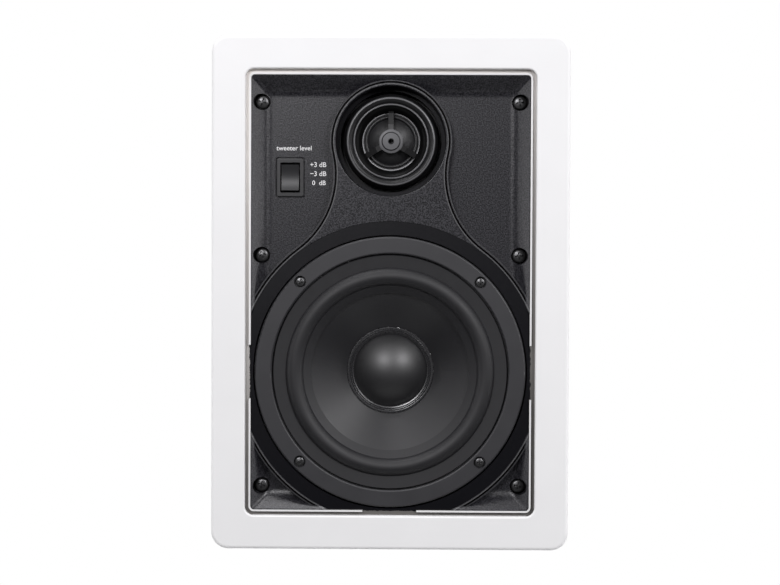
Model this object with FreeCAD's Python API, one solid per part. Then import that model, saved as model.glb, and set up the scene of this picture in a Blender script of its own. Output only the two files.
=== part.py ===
import FreeCAD, Part
import math
import os

# Two-way wall loudspeaker. Millimetres. X right, Y into the wall, Z up.
# The wall plane, the back of the flange, is Y = 0. The front faces -Y.
V = FreeCAD.Vector
DEPTH = V(0, 1, 0)

# Fits used by more than one piece
glue_fit = 0.1
slide_fit = 0.15
run_fit = 0.05
over = 5.0

# Woofer size and place on the baffle
woofer_rim_r = 82.3
woofer_gap = 1.0
woofer_side_margin = 1.2
woofer_bottom_margin = 0.55
driver_spacing = 140.3
boss_r = 37.0
boss_top_margin = 2.75

# Baffle tray
skin = 3.0
rim_y = -3.8
rim_lip = 0.4
tray_depth = 7.8
slope_side = 9.2
slope_top = 10.4
slope_bottom = 9.0
floor_corner = 2.0
floor_blend = 8.0
tray_steps = [tray_depth, 2.1, 1.6, 1.1, 0.7, 0.4, 0.18, 0.05, 0.0]
skirt_wall = 2.4
skirt_depth = 6.8
plateau_rise = 6.6
plateau_margin = 11.3
plateau_blend_r = 55.0
plateau_draft = 0.5
plateau_edge = 0.4
groove_inset = 0.8
groove_width = 1.2
groove_depth = 1.5
rib_wall = 1.6
rib_pitch = 24.0
rib_height = 4.0
band_width = 8.4
band_step = 0.4

# Mounting frame
flange_depth = 6.5
flange_border = 20.4
flange_corner = 10.5
flange_skin = 2.6
flange_rim = 2.4
flange_edge = 2.0
opening_edge = 1.0
channel_width = 2.2
channel_depth = 4.5
ridge_width = 1.1
ridge_drop = 2.4
opening_corner = 5.5
collar_wall = 2.9
collar_depth = 10.0
ledge_width = 2.2
ledge_wall = 2.5
flange_rib = 1.6
flange_count_x = 5
flange_count_z = 7
notch_half = 16.4

# Screws that hold the baffle in the frame, from behind
tie_inset = 2.6
tie_ear_r = 4.2
tie_boss_r = 3.2
tie_shank_r = 1.1
tie_head_r = 2.4
tie_head_h = 1.8
tie_depth = 2.0
tie_top_x = 48.0
tie_side_z = 64.0
tie_bottom_x = 62.0

# Woofer
trim_width = 10.4
trim_proud = 0.8
trim_depth = 3.6
trim_round = 1.0
basket_sheet = 1.2
gasket_depth = 1.2
gasket_width = 7.8
seat_width = 9.3
woofer_screw_inset = 4.95
woofer_head_r = 2.9
woofer_head_h = 2.0
woofer_shank_r = 1.5
woofer_bore_r = 3.7
woofer_bore_depth = 2.4
woofer_boss_r = 4.2
woofer_boss_depth = 6.5
lip_gap = 1.3
lip_width = 8.0
lip_depth = 1.0
roll_width = 9.2
roll_rise = 3.8
surround_sheet = 0.8
inner_lip_width = 5.0
cone_sheet = 0.9
cone_depth = 25.0
coil_r = 13.0
former_wall = 0.5
coil_wall = 0.8
coil_height = 12.0
cap_r = 22.4
cap_skirt = 3.6
cap_rise = 10.5
cap_sheet = 0.8
basket_depth = 37.0
shelf_depth = 26.8
shelf_width = 12.0
foot_step = 3.0
basket_bore_r = 18.0
basket_lip = 0.4
basket_taper = 11.0
window_count = 8
window_angle = 24.0
window_margin = 4.5
spider_sheet = 0.6
spider_waves = 4
spider_wave = 1.5
spider_lip = 4.0
top_plate_h = 5.0
plate_gap = 0.6
magnet_overhang = 3.8
magnet_bore_r = 20.0
magnet_h = 15.0
back_plate_inset = 3.0
back_plate_h = 5.0
pole_gap = 0.4
pole_vent_r = 4.0
strip_width = 22.0
strip_margin = 2.0
strip_wall = 1.6
tab_width = 4.8
tab_wall = 0.8
tab_length = 9.0

# Swivel tweeter
well_r = 33.6
well_round = 0.4
ball_r = 29.5
ball_setback = 16.6
ring_wall = 1.6
socket_lip_angle = 82.0
ring_front_angle = 97.0
ring_rear_angle = 111.0
shell_wall = 2.2
shell_rear = 15.0
face_setback = 12.4
bead_outer_r = 26.6
bead_inner_r = 23.9
face_r = 23.3
face_bead = 1.7
throat_r = 17.6
face_depth = 9.6
spoke_width = 3.2
spoke_count = 3
hub_r = 7.3
hub_disc_r = 5.4
hub_bore_r = 1.4
hub_depth = 3.2
dome_r = 14.3
dome_rise = 4.6
dome_sheet = 0.4
dome_roll = 1.0
tweeter_former_wall = 0.3
tweeter_coil_wall = 0.5
tweeter_coil_h = 3.0
tweeter_plate_h = 3.0
tweeter_magnet_h = 6.0
tweeter_motor_r = 21.5
tweeter_back_h = 3.0
tweeter_plate_gap = 0.5
retainer_r = 37.6
retainer_h = 9.0
retainer_ear_r = 4.0
retainer_ear_h = 3.0
retainer_pcd_r = 40.4
retainer_screw_r = 1.3
retainer_head_r = 2.6
retainer_head_h = 1.8

# Level switch
switch_inset = 23.1
switch_below_tweeter = 22.2
bezel_width = 16.8
bezel_height = 23.5
bezel_depth = 1.6
bezel_corner = 1.2
bezel_gap = 0.5
bezel_sink = 1.2
switch_box_width = 14.0
switch_box_height = 20.4
switch_box_depth = 15.0
rocker_window_width = 12.05
rocker_window_height = 18.4
rocker_width = 10.6
rocker_height = 15.6
rocker_proud = 1.1
rocker_hollow = 1.6
rocker_pivot = 3.6
rocker_pin_r = 1.5
rocker_pin_reach = 1.4
blade_width = 4.8
blade_wall = 0.8
blade_length = 8.0
blade_pitch = 7.0

# Wall clamps
clamp_inset = 6.1
clamp_top_inset = 16.15
clamp_middle_drop = 93.1
clamp_bottom_inset = 13.95
pocket_r = 4.95
pocket_sink = 2.0
pocket_floor = 3.0
pocket_boss_r = 7.2
clamp_head_r = 4.0
clamp_head_h = 2.8
clamp_shank_r = 2.0
clamp_screw_reach = 52.0
insert_r = 3.6
insert_flange_r = 4.8
insert_flange_h = 1.0
dog_hub_r = 6.0
dog_length = 12.0
dog_arm_reach = 20.6
dog_arm_width = 8.0
dog_arm_depth = 7.0
dog_tooth = 0.8
dog_rest_y = 42.0
post_inner_r = 7.2
post_wall = 2.0
post_end_y = 55.0
stop_r = 3.4
stop_h = 1.6

# Crossover board and wire terminals
board_inset = 17.0
board_width = 24.5
board_drop = 59.2
board_height = 74.5
board_wall = 1.6
board_standoff = 4.0
standoff_r = 3.2
board_screw_r = 1.3
board_head_r = 2.7
board_head_h = 1.8
board_hole_inset = 3.0
board_lower_left = 9.5
choke_r = 12.2
choke_core_r = 5.0
choke_flange = 1.2
choke_h = 13.0
choke_rise = 58.5
can_r = 5.8
can_h = 22.0
can_rise = 39.0
can_pitch = 12.6
resistor_length = 20.0
resistor_wall = 4.6
resistor_rise = 23.8
resistor_pitch = 5.6
block_width = 22.5
block_height = 12.0
block_depth = 14.0
block_rise = 14.0
pole_pitch = 11.3
wire_hole_r = 1.6
wire_hole_depth = 9.0
wire_hole_drop = 3.4
button_width = 7.0
button_height = 4.0
button_proud = 3.2
button_inside = 6.0
button_rise = 2.2
button_well = 9.5

# Places worked out from the values above
recess_r = woofer_rim_r + woofer_gap
band_r = recess_r + band_width
plateau_woofer_r = recess_r + plateau_margin
trim_inner_r = woofer_rim_r - trim_width
gasket_inner_r = woofer_rim_r - gasket_width
woofer_hole_r = woofer_rim_r - seat_width
woofer_pcd_r = woofer_rim_r - woofer_screw_inset
lip_outer_r = trim_inner_r - lip_gap
lip_inner_r = lip_outer_r - lip_width
roll_inner_r = lip_inner_r - roll_width
basket_wall_r = lip_inner_r + basket_lip
shelf_outer_r = basket_wall_r - basket_taper
shelf_inner_r = shelf_outer_r - shelf_width
foot_r = shelf_inner_r - foot_step
magnet_r = foot_r + basket_sheet + magnet_overhang
back_plate_r = magnet_r - back_plate_inset
strip_height = shelf_width - 2 * strip_margin
baffle_w = 2 * (recess_r + woofer_side_margin)
baffle_h = boss_top_margin + boss_r + driver_spacing + recess_r + woofer_bottom_margin
tweeter_z = baffle_h / 2 - boss_top_margin - boss_r
woofer_z = tweeter_z - driver_spacing
floor_y = rim_y + tray_depth
floor_back = floor_y + skin
plateau_y = floor_y - plateau_rise
skirt_end = rim_y + skirt_depth
ridge_in_w = baffle_w + 2 * slide_fit
ridge_in_h = baffle_h + 2 * slide_fit
ridge_out_w = ridge_in_w + 2 * ridge_width
ridge_out_h = ridge_in_h + 2 * ridge_width
opening_w = ridge_out_w + 2 * channel_width
opening_h = ridge_out_h + 2 * channel_width
frame_w = opening_w + 2 * flange_border
frame_h = opening_h + 2 * flange_border
channel_y = channel_depth - flange_depth
trim_y = plateau_y - trim_proud
sheet_y = trim_y + trim_depth
seat_y = sheet_y + basket_sheet + gasket_depth
seat_back = seat_y + skin
former_r = coil_r - former_wall
cone_slope = cone_depth / (roll_inner_r - coil_r)
shelf_y = sheet_y + shelf_depth
foot_y = sheet_y + basket_depth
plate_y = foot_y + basket_sheet
magnet_y = plate_y + top_plate_h
yoke_y = magnet_y + magnet_h
ball_y = plateau_y + ball_setback
face_y = ball_y - face_setback
dome_y = face_y + face_depth
motor_y = dome_y + 2.0
socket_r = ball_r + run_fit + ring_wall + run_fit
switch_x = switch_inset - baffle_w / 2
switch_z = tweeter_z - switch_below_tweeter
bezel_y = floor_y + bezel_sink - bezel_depth
pivot_y = bezel_y + rocker_pivot
pocket_y = floor_y + pocket_sink
clamp_x = baffle_w / 2 - clamp_inset
clamp_top_z = baffle_h / 2 - clamp_top_inset
clamp_rows = [clamp_top_z, clamp_top_z - clamp_middle_drop, clamp_bottom_inset - baffle_h / 2]
clamps = [(side * clamp_x, z) for z in clamp_rows for side in (-1, 1)]
board_y = floor_back + board_standoff
board_back = board_y + board_wall
board_left = baffle_w / 2 - board_inset - board_width
board_x = board_left + board_width / 2
board_bottom = tweeter_z - board_drop
choke_z = board_bottom + choke_rise
can_z = board_bottom + can_rise
resistor_z = board_bottom + resistor_rise
block_z = board_bottom + block_rise
ties = [(s * tie_top_x, baffle_h / 2 - tie_inset) for s in (-1, 1)]
ties += [(s * (baffle_w / 2 - tie_inset), tie_side_z) for s in (-1, 1)]
ties += [(s * tie_bottom_x, tie_inset - baffle_h / 2) for s in (-1, 1)]


def rectangle(width, height, corner, y, z=0.0):
    """Closed wire of a rounded rectangle that faces along Y."""
    a, b, k = width / 2, height / 2, corner * (1 - math.sqrt(0.5))
    spots = [
        (a, b - corner), (a - k, b - k), (a - corner, b),
        (corner - a, b), (k - a, b - k), (-a, b - corner),
        (-a, corner - b), (k - a, k - b), (corner - a, -b),
        (a - corner, -b), (a - k, k - b), (a, corner - b),
    ]
    p = [V(x, y, z + h) for x, h in spots]
    edges = []
    for i in range(0, 12, 3):
        edges.append(Part.Arc(p[i], p[i + 1], p[i + 2]).toShape())
        edges.append(Part.LineSegment(p[i + 2], p[(i + 3) % 12]).toShape())
    return Part.Wire(edges)


def slab(width, height, corner, y0, y1, z=0.0):
    face = Part.Face(rectangle(width, height, corner, y0, z))
    return face.extrude(V(0, y1 - y0, 0))


def box(x0, x1, y0, y1, z0, z1):
    return Part.makeBox(x1 - x0, y1 - y0, z1 - z0, V(x0, y0, z0))


def disc(radius, y0, y1, x=0.0, z=0.0):
    return Part.makeCylinder(radius, y1 - y0, V(x, y0, z), DEPTH)


def hoop(outer, inner, y0, y1, x=0.0, z=0.0):
    return disc(outer, y0, y1, x, z).cut(disc(inner, y0 - 1, y1 + 1, x, z))


def outline(path):
    """Edges through (u, v) points. A pair of points is an arc: a point on it, then its end."""
    edges = []
    here = path[0]
    for step in path[1:] + [path[0]]:
        if isinstance(step[0], tuple):
            through, end = step
            arc = Part.Arc(V(*here, 0), V(*through, 0), V(*end, 0))
            edges.append(arc.toShape())
            here = end
        elif step != here:
            edges.append(Part.LineSegment(V(*here, 0), V(*step, 0)).toShape())
            here = step
    return Part.Face(Part.Wire(edges))


def turned(path, z):
    """Solid of revolution about the Y direction. Path points are (radius, y)."""
    face = outline(path)
    solid = face.revolve(V(0, 0, 0), DEPTH, 360)
    solid.translate(V(0, 0, z))
    return solid


def join(first, rest):
    return first.fuse(rest).removeSplitter()


def edges_at(shape, y):
    """Edges that lie in one plane across Y."""
    box_of = [(e, e.BoundBox) for e in shape.Edges]
    return [e for e, b in box_of if abs(b.YMin - y) < 1e-4 and abs(b.YMax - y) < 1e-4]


def pear(grow, y):
    """Outline of the raised plateau: two circles joined by arcs tangent to both."""
    rw = plateau_woofer_r + grow
    rt = boss_r + grow
    rb = plateau_blend_r - grow
    low = rw + rb
    high = rt + rb
    along = (low ** 2 - high ** 2 + driver_spacing ** 2) / (2 * driver_spacing)
    across = math.sqrt(low ** 2 - along ** 2)
    w = V(0, y, woofer_z)
    t = V(0, y, tweeter_z)
    right = V(across, y, woofer_z + along)
    left = V(-across, y, woofer_z + along)
    wr = w + (right - w) * (rw / low)
    tr = t + (right - t) * (rt / high)
    tl = t + (left - t) * (rt / high)
    wl = w + (left - w) * (rw / low)
    mid_r = right + ((wr + tr) * 0.5 - right).normalize() * rb
    mid_l = left + ((wl + tl) * 0.5 - left).normalize() * rb
    arcs = [
        Part.Arc(wr, mid_r, tr),
        Part.Arc(tr, t + V(0, 0, rt), tl),
        Part.Arc(tl, mid_l, wl),
        Part.Arc(wl, w - V(0, 0, rw), wr),
    ]
    return Part.Wire([arc.toShape() for arc in arcs])


def pear_slab(grow, y0, y1):
    return Part.Face(pear(grow, y0)).extrude(V(0, y1 - y0, 0))


def cross_recess(radius, depth, y, x, z):
    """Cut for a cross driver in a screw head whose top is at y."""
    half = radius * 0.62
    wide = radius * 0.13
    arm = box(x - half, x + half, y - 0.5, y + depth, z - wide, z + wide)
    leg = box(x - wide, x + wide, y - 0.5, y + depth, z - half, z + half)
    return arm.fuse(leg)


def pan_screw(head_r, head_h, shank_r, y_seat, y_end, x, z):
    """Cross-recess pan head screw driven towards +Y."""
    top = y_seat - head_h
    body = disc(shank_r, y_seat, y_end, x, z)
    crown = outline([
        (0.0, top), ((head_r * 0.42, top + head_h * 0.04), (head_r * 0.78, top + head_h * 0.16)),
        ((head_r * 0.94, top + head_h * 0.32), (head_r, top + head_h * 0.62)),
        (head_r, y_seat), (0.0, y_seat),
    ]).revolve(V(0, 0, 0), DEPTH, 360)
    crown.translate(V(x, 0, z))
    return join(crown, [body]).cut(cross_recess(head_r, head_h * 0.55, top, x, z))


def rear_screw(head_r, head_h, shank_r, y_seat, y_end, x, z):
    """Pan head screw driven towards -Y from behind."""
    head = disc(head_r, y_seat, y_seat + head_h, x, z)
    head = head.makeFillet(head_h * 0.45, edges_at(head, y_seat + head_h))
    screw = join(head, [disc(shank_r, y_end, y_seat, x, z)])
    half = head_r * 0.62
    wide = head_r * 0.13
    y0 = y_seat + head_h * 0.45
    y1 = y_seat + head_h + 1
    arm = box(x - half, x + half, y0, y1, z - wide, z + wide)
    leg = box(x - wide, x + wide, y0, y1, z - half, z + half)
    return screw.cut(arm.fuse(leg))


def notch(y0, y1):
    """Room for the woofer's land where it meets the ridge at the sides and the bottom."""
    across = box(-opening_w / 2, opening_w / 2, y0, y1, woofer_z - notch_half, woofer_z + notch_half)
    return across.fuse(box(-notch_half, notch_half, y0, y1, -opening_h / 2, woofer_z))


def mounting_frame():
    """White moulding: flange, grille channel, ridge, ledge for the baffle and collar."""
    front = -flange_depth
    shell = slab(frame_w, frame_h, flange_corner, front, 0)
    shell = shell.makeFillet(flange_edge, edges_at(shell, front))
    inner = slab(opening_w, opening_h, opening_corner, front - 1, collar_depth + 1)
    collar_w = opening_w + 2 * collar_wall
    collar_h = opening_h + 2 * collar_wall
    collar_corner = opening_corner + collar_wall
    hollow_y = front + flange_skin
    cored_w = frame_w - 2 * flange_rim
    cored_h = frame_h - 2 * flange_rim
    core = slab(cored_w, cored_h, flange_corner - flange_rim, hollow_y, 1)
    core = core.cut(slab(collar_w, collar_h, collar_corner, hollow_y - 1, 2))
    collar = slab(collar_w, collar_h, collar_corner, hollow_y - 0.5, collar_depth)
    ribs = []
    reach_x = (cored_w + 1) / 2
    reach_z = (cored_h + 1) / 2
    for i in range(flange_count_x):
        x = (i - (flange_count_x - 1) / 2) * collar_w / (flange_count_x - 1) * 0.9
        for z0, z1 in ((collar_h / 2 - 0.5, reach_z), (-reach_z, 0.5 - collar_h / 2)):
            ribs.append(box(x - flange_rib / 2, x + flange_rib / 2, hollow_y - 0.5, 0, z0, z1))
    for i in range(flange_count_z):
        z = (i - (flange_count_z - 1) / 2) * collar_h / (flange_count_z - 1) * 0.9
        for x0, x1 in ((collar_w / 2 - 0.5, reach_x), (-reach_x, 0.5 - collar_w / 2)):
            ribs.append(box(x0, x1, hollow_y - 0.5, 0, z - flange_rib / 2, z + flange_rib / 2))
    shell = join(shell.cut(core), [collar] + ribs).cut(inner)
    mouth = [e for e in edges_at(shell, front) if e.BoundBox.XLength < opening_w + 1]
    mouth = [e for e in mouth if e.BoundBox.ZLength < opening_h + 1]
    mouth = [e for e in mouth if abs(e.CenterOfMass.x) < opening_w / 2 + 0.5]
    mouth = [e for e in mouth if abs(e.CenterOfMass.z) < opening_h / 2 + 0.5]
    shell = shell.makeFillet(opening_edge, mouth)

    ridge_corner = opening_corner - channel_width
    inside_corner = ridge_corner - ridge_width
    ledge_end = skirt_end + ledge_wall
    wall = slab(opening_w + 0.4, opening_h + 0.4, opening_corner + 0.2, channel_y, ledge_end)
    ridge = slab(ridge_out_w, ridge_out_h, ridge_corner, ridge_drop - flange_depth, channel_y + 1)
    ridge = ridge.cut(notch(front, channel_y))
    inside = slab(ridge_in_w, ridge_in_h, inside_corner, front, ledge_end + 1)
    rim = join(wall, [ridge]).cut(inside)
    ledge = slab(ridge_in_w + 1, ridge_in_h + 1, inside_corner + 0.5, skirt_end, ledge_end)
    ledge_w = ridge_in_w - 2 * ledge_width
    ledge_h = ridge_in_h - 2 * ledge_width
    ledge = ledge.cut(slab(ledge_w, ledge_h, inside_corner, skirt_end - 1, ledge_end + 1))
    ears = [disc(tie_ear_r, skirt_end, ledge_end, x, z) for x, z in ties]
    within = slab(ridge_in_w + 1, ridge_in_h + 1, inside_corner + 0.5, skirt_end, ledge_end)
    tray = tray_back()
    tray.translate(V(0, slide_fit, 0))
    ledge = join(ledge, [ear.common(within).cut(tray) for ear in ears])
    pocket = disc(recess_r + skin + slide_fit, skirt_end - 1, ledge_end + 1, 0, woofer_z)
    clear = [disc(pocket_boss_r + slide_fit, skirt_end - 1, ledge_end + 1, x, z) for x, z in clamps]
    ledge = ledge.cut([pocket] + clear)
    frame = join(shell, [rim, ledge])
    holes = [disc(tie_shank_r + 0.5, skirt_end - 1, ledge_end + 1, x, z) for x, z in ties]
    return frame.cut(holes)


def tray_sizes():
    """Width, height and middle of the tray floor inside its four slopes."""
    width = baffle_w - 2 * slope_side
    height = baffle_h - slope_top - slope_bottom
    return width, height, (slope_bottom - slope_top) / 2


def slope_at(rise, run):
    """How far inside the tray's lip a slope of this run is at a height over the floor."""
    run = run - rim_lip
    lean = math.atan2(tray_depth, run)
    reach = floor_blend * math.tan(lean / 2)
    if rise >= floor_blend * (1 - math.cos(lean)):
        return run * (1 - rise / tray_depth)
    return run + reach - math.sqrt(floor_blend ** 2 - (floor_blend - rise) ** 2)


def tray_section(rise):
    """Outline of the tray's hollow at a height over its floor, with the floor blend."""
    side = rim_lip + slope_at(rise, slope_side)
    top = rim_lip + slope_at(rise, slope_top)
    bottom = rim_lip + slope_at(rise, slope_bottom)
    width = baffle_w - 2 * side
    height = baffle_h - top - bottom
    return rectangle(width, height, floor_corner, floor_y - rise, (bottom - top) / 2)


def tray_back():
    """Solid up to the back of the sloped tray."""
    corner = opening_corner - channel_width - ridge_width
    width, height, middle = tray_sizes()
    top = rectangle(baffle_w, baffle_h, corner, rim_y + skin)
    floor = rectangle(width, height, floor_corner, floor_back, middle)
    return Part.makeLoft([top, floor], True, True)


def baffle():
    """Black moulding that carries both drivers, the switch, the clamps and the board."""
    rim_corner = opening_corner - channel_width - ridge_width
    cavity = Part.makeLoft([tray_section(h) for h in tray_steps], True, True)
    block = slab(baffle_w, baffle_h, rim_corner, rim_y, rim_y + skin)
    skirt = slab(baffle_w, baffle_h, rim_corner, rim_y + skin - 0.5, skirt_end)
    inner_w = baffle_w - 2 * skirt_wall
    inner_h = baffle_h - 2 * skirt_wall
    skirt = skirt.cut(slab(inner_w, inner_h, rim_corner, rim_y, skirt_end + 1))
    tie_bosses = [disc(tie_boss_r, rim_y + skin - 0.5, skirt_end, x, z) for x, z in ties]
    bounds = slab(baffle_w, baffle_h, rim_corner, rim_y - over, post_end_y + over)
    tie_bosses = [boss.common(bounds) for boss in tie_bosses]
    tray = join(block, [tray_back(), skirt] + tie_bosses).cut(cavity)

    hump = Part.makeLoft([pear(0, plateau_y), pear(plateau_draft, floor_y + 1)], True, True)
    hump = hump.makeChamfer(plateau_edge, edges_at(hump, plateau_y)).common(bounds)
    ledge_zone = slab(baffle_w + 2, baffle_h + 2, rim_corner, skirt_end, floor_back + over)
    hump = hump.cut(ledge_zone.cut(slab(inner_w, inner_h, rim_corner, skirt_end - 1, floor_back + 2 * over)))
    hollow_wires = [pear(-skin, plateau_y + skin), pear(plateau_draft - skin, floor_back + 1)]
    hollow = Part.makeLoft(hollow_wires, True, True)
    hollow = hollow.common(slab(inner_w, inner_h, rim_corner, rim_y, post_end_y))
    body = join(tray, [hump]).cut(hollow)
    seat_ring = disc(recess_r + skin, plateau_y + 1, seat_back, 0, woofer_z).common(bounds)
    bosses = []
    for x, z in woofer_screw_places():
        bosses.append(disc(woofer_boss_r, seat_back - 0.5, seat_back + woofer_boss_depth, x, z))
    well_back = ball_y
    well_tube = disc(boss_r - 0.5, plateau_y + 1, well_back, 0, tweeter_z)
    for x, z in retainer_places():
        bosses.append(disc(retainer_ear_r, floor_y + 1, well_back, x, z))
    for x, z in clamps:
        boss = disc(pocket_boss_r, floor_y + 1, pocket_y + pocket_floor, x, z)
        bosses.append(boss.common(bounds))
        bosses.append(clamp_post(x, z))
    for x, z in board_screw_places():
        bosses.append(disc(standoff_r, floor_y + 1, board_y, x, z))
    body = join(body, [seat_ring, well_tube] + bosses + baffle_ribs())

    cuts = [disc(recess_r, rim_y - over, seat_y, 0, woofer_z)]
    cuts.append(disc(woofer_hole_r, rim_y - over, seat_back + 2 * over, 0, woofer_z))
    cuts.append(hoop(band_r, recess_r - 1, rim_y - over, plateau_y + band_step, 0, woofer_z))
    rim_zone = slab(baffle_w + 2, baffle_h + 2, rim_corner, rim_y - over, channel_y)
    rim_zone = rim_zone.cut(slab(inner_w, inner_h, rim_corner, rim_y - 2 * over, channel_y + 1))
    cuts.append(rim_zone.common(notch(rim_y - over, channel_y)))
    groove = pear_slab(-groove_inset, plateau_y - 2, plateau_y + groove_depth)
    groove_core = pear_slab(-groove_inset - groove_width, plateau_y - 3, plateau_y + groove_depth + 1)
    groove = groove.cut(groove_core)
    groove = groove.common(slab(inner_w, inner_h, rim_corner, rim_y - over, post_end_y))
    cuts.append(groove)
    cuts.append(well_cut())
    for x, z in retainer_places():
        cuts.append(disc(retainer_screw_r + run_fit, well_back - 7, well_back + 1, x, z))
    for x, z in woofer_screw_places():
        cuts.append(disc(woofer_shank_r + run_fit, seat_y - 1, seat_back + woofer_boss_depth + 1, x, z))
    for x, z in clamps:
        cuts.append(disc(pocket_r, rim_y - over, pocket_y, x, z))
        cuts.append(disc(clamp_shank_r + 0.3, pocket_y - 1, post_end_y + 2, x, z))
        cuts.append(disc(post_inner_r, pocket_y + pocket_floor, post_end_y + 2, x, z))
    for x, z in ties:
        cuts.append(disc(tie_shank_r + run_fit, skirt_end - tie_depth, skirt_end + 1, x, z))
    for x, z in board_screw_places():
        cuts.append(disc(board_screw_r + run_fit, floor_back - 1, board_y + 1, x, z))
    gap = 2 * bezel_gap
    mouth = slab(bezel_width + gap, bezel_height + gap, bezel_corner, floor_y - 1, floor_y + bezel_sink)
    hole_w = switch_box_width + 2 * slide_fit
    hole_h = switch_box_height + 2 * slide_fit
    mouth = mouth.fuse(slab(hole_w, hole_h, bezel_corner / 2, floor_y, floor_back + 1))
    mouth.translate(V(switch_x, 0, switch_z))
    cuts.append(mouth)
    for cut in cuts:
        body = body.cut(cut)
    return body.removeSplitter()


def baffle_ribs():
    """Stiffening ribs behind the baffle: between the wells and beside the clamp posts."""
    half = rib_wall / 2
    ribs = []
    for x in (-rib_pitch, 0.0, rib_pitch):
        low = woofer_z + math.sqrt((recess_r + skin / 2) ** 2 - x ** 2)
        high = tweeter_z - math.sqrt((boss_r - skin / 2) ** 2 - x ** 2)
        ribs.append(box(x - half, x + half, plateau_y + skin - 0.5, floor_back, low, high))
    edge = clamp_x - post_inner_r
    low = clamp_rows[1] + post_inner_r
    high = clamp_rows[0] - post_inner_r
    for x in (-edge, edge):
        ribs.append(box(x - half, x + half, floor_back - 0.5, floor_back + rib_height, low, high))
    return ribs


def well_cut():
    """Round well for the swivel tweeter, with a rounded mouth and a spherical lip behind."""
    lip = math.radians(socket_lip_angle)
    lip_y = ball_y - socket_r * math.cos(lip)
    lip_r = socket_r * math.sin(lip)
    mid = math.radians((socket_lip_angle + 90) / 2)
    mouth = []
    for turn in (0, 30, 60, 90):
        a = math.radians(turn)
        out = well_round * (1 - math.sin(a))
        mouth.append((well_r + out, plateau_y + well_round * (1 - math.cos(a))))
    return turned([
        (0.0, plateau_y - 4), (well_r + well_round, plateau_y - 4), *mouth,
        (well_r - 0.6, lip_y), (lip_r, lip_y),
        ((socket_r * math.sin(mid), ball_y - socket_r * math.cos(mid)), (socket_r, ball_y)),
        (socket_r, ball_y + 1), (0.0, ball_y + 1),
    ], tweeter_z)


def clamp_post(x, z):
    """Half tube behind the baffle that guides a clamp and stops its swing."""
    y0 = pocket_y + 1
    tube = hoop(post_inner_r + post_wall, post_inner_r, y0, post_end_y, x, z)
    reach = post_inner_r + post_wall + 1
    keep = box(0, 2 * reach, y0, post_end_y, -2 * reach, 2 * reach)
    keep.rotate(V(0, 0, 0), DEPTH, -45 if x < 0 else 135)
    keep.translate(V(x, 0, z))
    return tube.common(keep)


def around(radius, count, start):
    angles = [math.radians(start + 360.0 * i / count) for i in range(count)]
    return [(radius * math.cos(a), radius * math.sin(a)) for a in angles]


def woofer_screw_places():
    return [(x, z + woofer_z) for x, z in around(woofer_pcd_r, 4, 45)]


def retainer_places():
    return [(x, z + tweeter_z) for x, z in around(retainer_pcd_r, 4, 45)]


def board_screw_places():
    top = board_bottom + board_height - board_hole_inset
    right = board_left + board_width - board_hole_inset
    low = board_bottom + board_hole_inset
    left = board_left + board_hole_inset
    return [(left, top), (right, top), (board_left + board_lower_left, low), (right, low)]


def tie_screws():
    seat = skirt_end + ledge_wall
    end = skirt_end - tie_depth + 0.3
    return [rear_screw(tie_head_r, tie_head_h, tie_shank_r, seat, end, x, z) for x, z in ties]


def woofer_gasket():
    ring = hoop(woofer_rim_r, gasket_inner_r, seat_y - gasket_depth, seat_y, 0, woofer_z)
    holes = [disc(woofer_shank_r + 0.3, seat_y - over, seat_y + over, x, z) for x, z in woofer_screw_places()]
    return ring.cut(holes)


def woofer_trim():
    """Moulded ring that covers the basket rim, with sunk screw seats."""
    ring = hoop(woofer_rim_r, trim_inner_r, trim_y, sheet_y, 0, woofer_z)
    ring = ring.makeFillet(trim_round, edges_at(ring, trim_y))
    cuts = []
    for x, z in woofer_screw_places():
        cuts.append(disc(woofer_bore_r, trim_y - 1, trim_y + woofer_bore_depth, x, z))
        cuts.append(disc(woofer_shank_r + 0.4, trim_y, sheet_y + 1, x, z))
    return ring.cut(cuts)


def woofer_screws():
    seat = trim_y + woofer_bore_depth
    end = seat_back + woofer_boss_depth - 0.5
    return [
        pan_screw(woofer_head_r, woofer_head_h, woofer_shank_r, seat, end, x, z)
        for x, z in woofer_screw_places()
    ]


def woofer_basket():
    """Pressed steel basket: rim, windowed wall, spider shelf and foot."""
    t = basket_sheet
    rim = sheet_y
    shell = turned([
        (woofer_rim_r, rim), (woofer_rim_r, rim + t), (basket_wall_r + 1.5, rim + t),
        (shelf_outer_r + t, shelf_y + t), (shelf_inner_r + t, shelf_y + t),
        (foot_r + t, plate_y), (basket_bore_r, plate_y), (basket_bore_r, foot_y),
        (foot_r, foot_y), (shelf_inner_r, shelf_y), (shelf_outer_r, shelf_y),
        (basket_wall_r, rim + t), (basket_wall_r - 0.4, rim),
    ], woofer_z)
    cuts = [disc(woofer_shank_r + 0.4, rim - 1, rim + over, x, z) for x, z in woofer_screw_places()]
    low = rim + t + window_margin
    high = shelf_y - window_margin + t
    outer = basket_wall_r + 4
    inner = shelf_outer_r - 3
    sector = hoop(outer, inner, low, high)
    reach = outer + 10
    side = math.tan(math.radians(window_angle / 2)) * reach
    wedge = [V(0, low, 0), V(reach, low, side), V(reach, low, -side), V(0, low, 0)]
    wedge_face = Part.Face(Part.makePolygon(wedge))
    window = sector.common(wedge_face.extrude(V(0, high - low, 0)))
    window = window.makeFillet(3.0, [e for e in window.Edges if is_radial(e)])
    for i in range(window_count):
        hole = window.copy()
        hole.rotate(V(0, 0, 0), DEPTH, 360.0 * (i + 0.5) / window_count)
        hole.translate(V(0, 0, woofer_z))
        cuts.append(hole)
    return shell.cut(cuts)


def is_radial(edge):
    """True for a straight edge that runs outward from the Y axis."""
    b = edge.BoundBox
    return b.YLength < 1e-4 and len(edge.Vertexes) == 2 and edge.Curve.TypeId == "Part::GeomLine"


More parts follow.
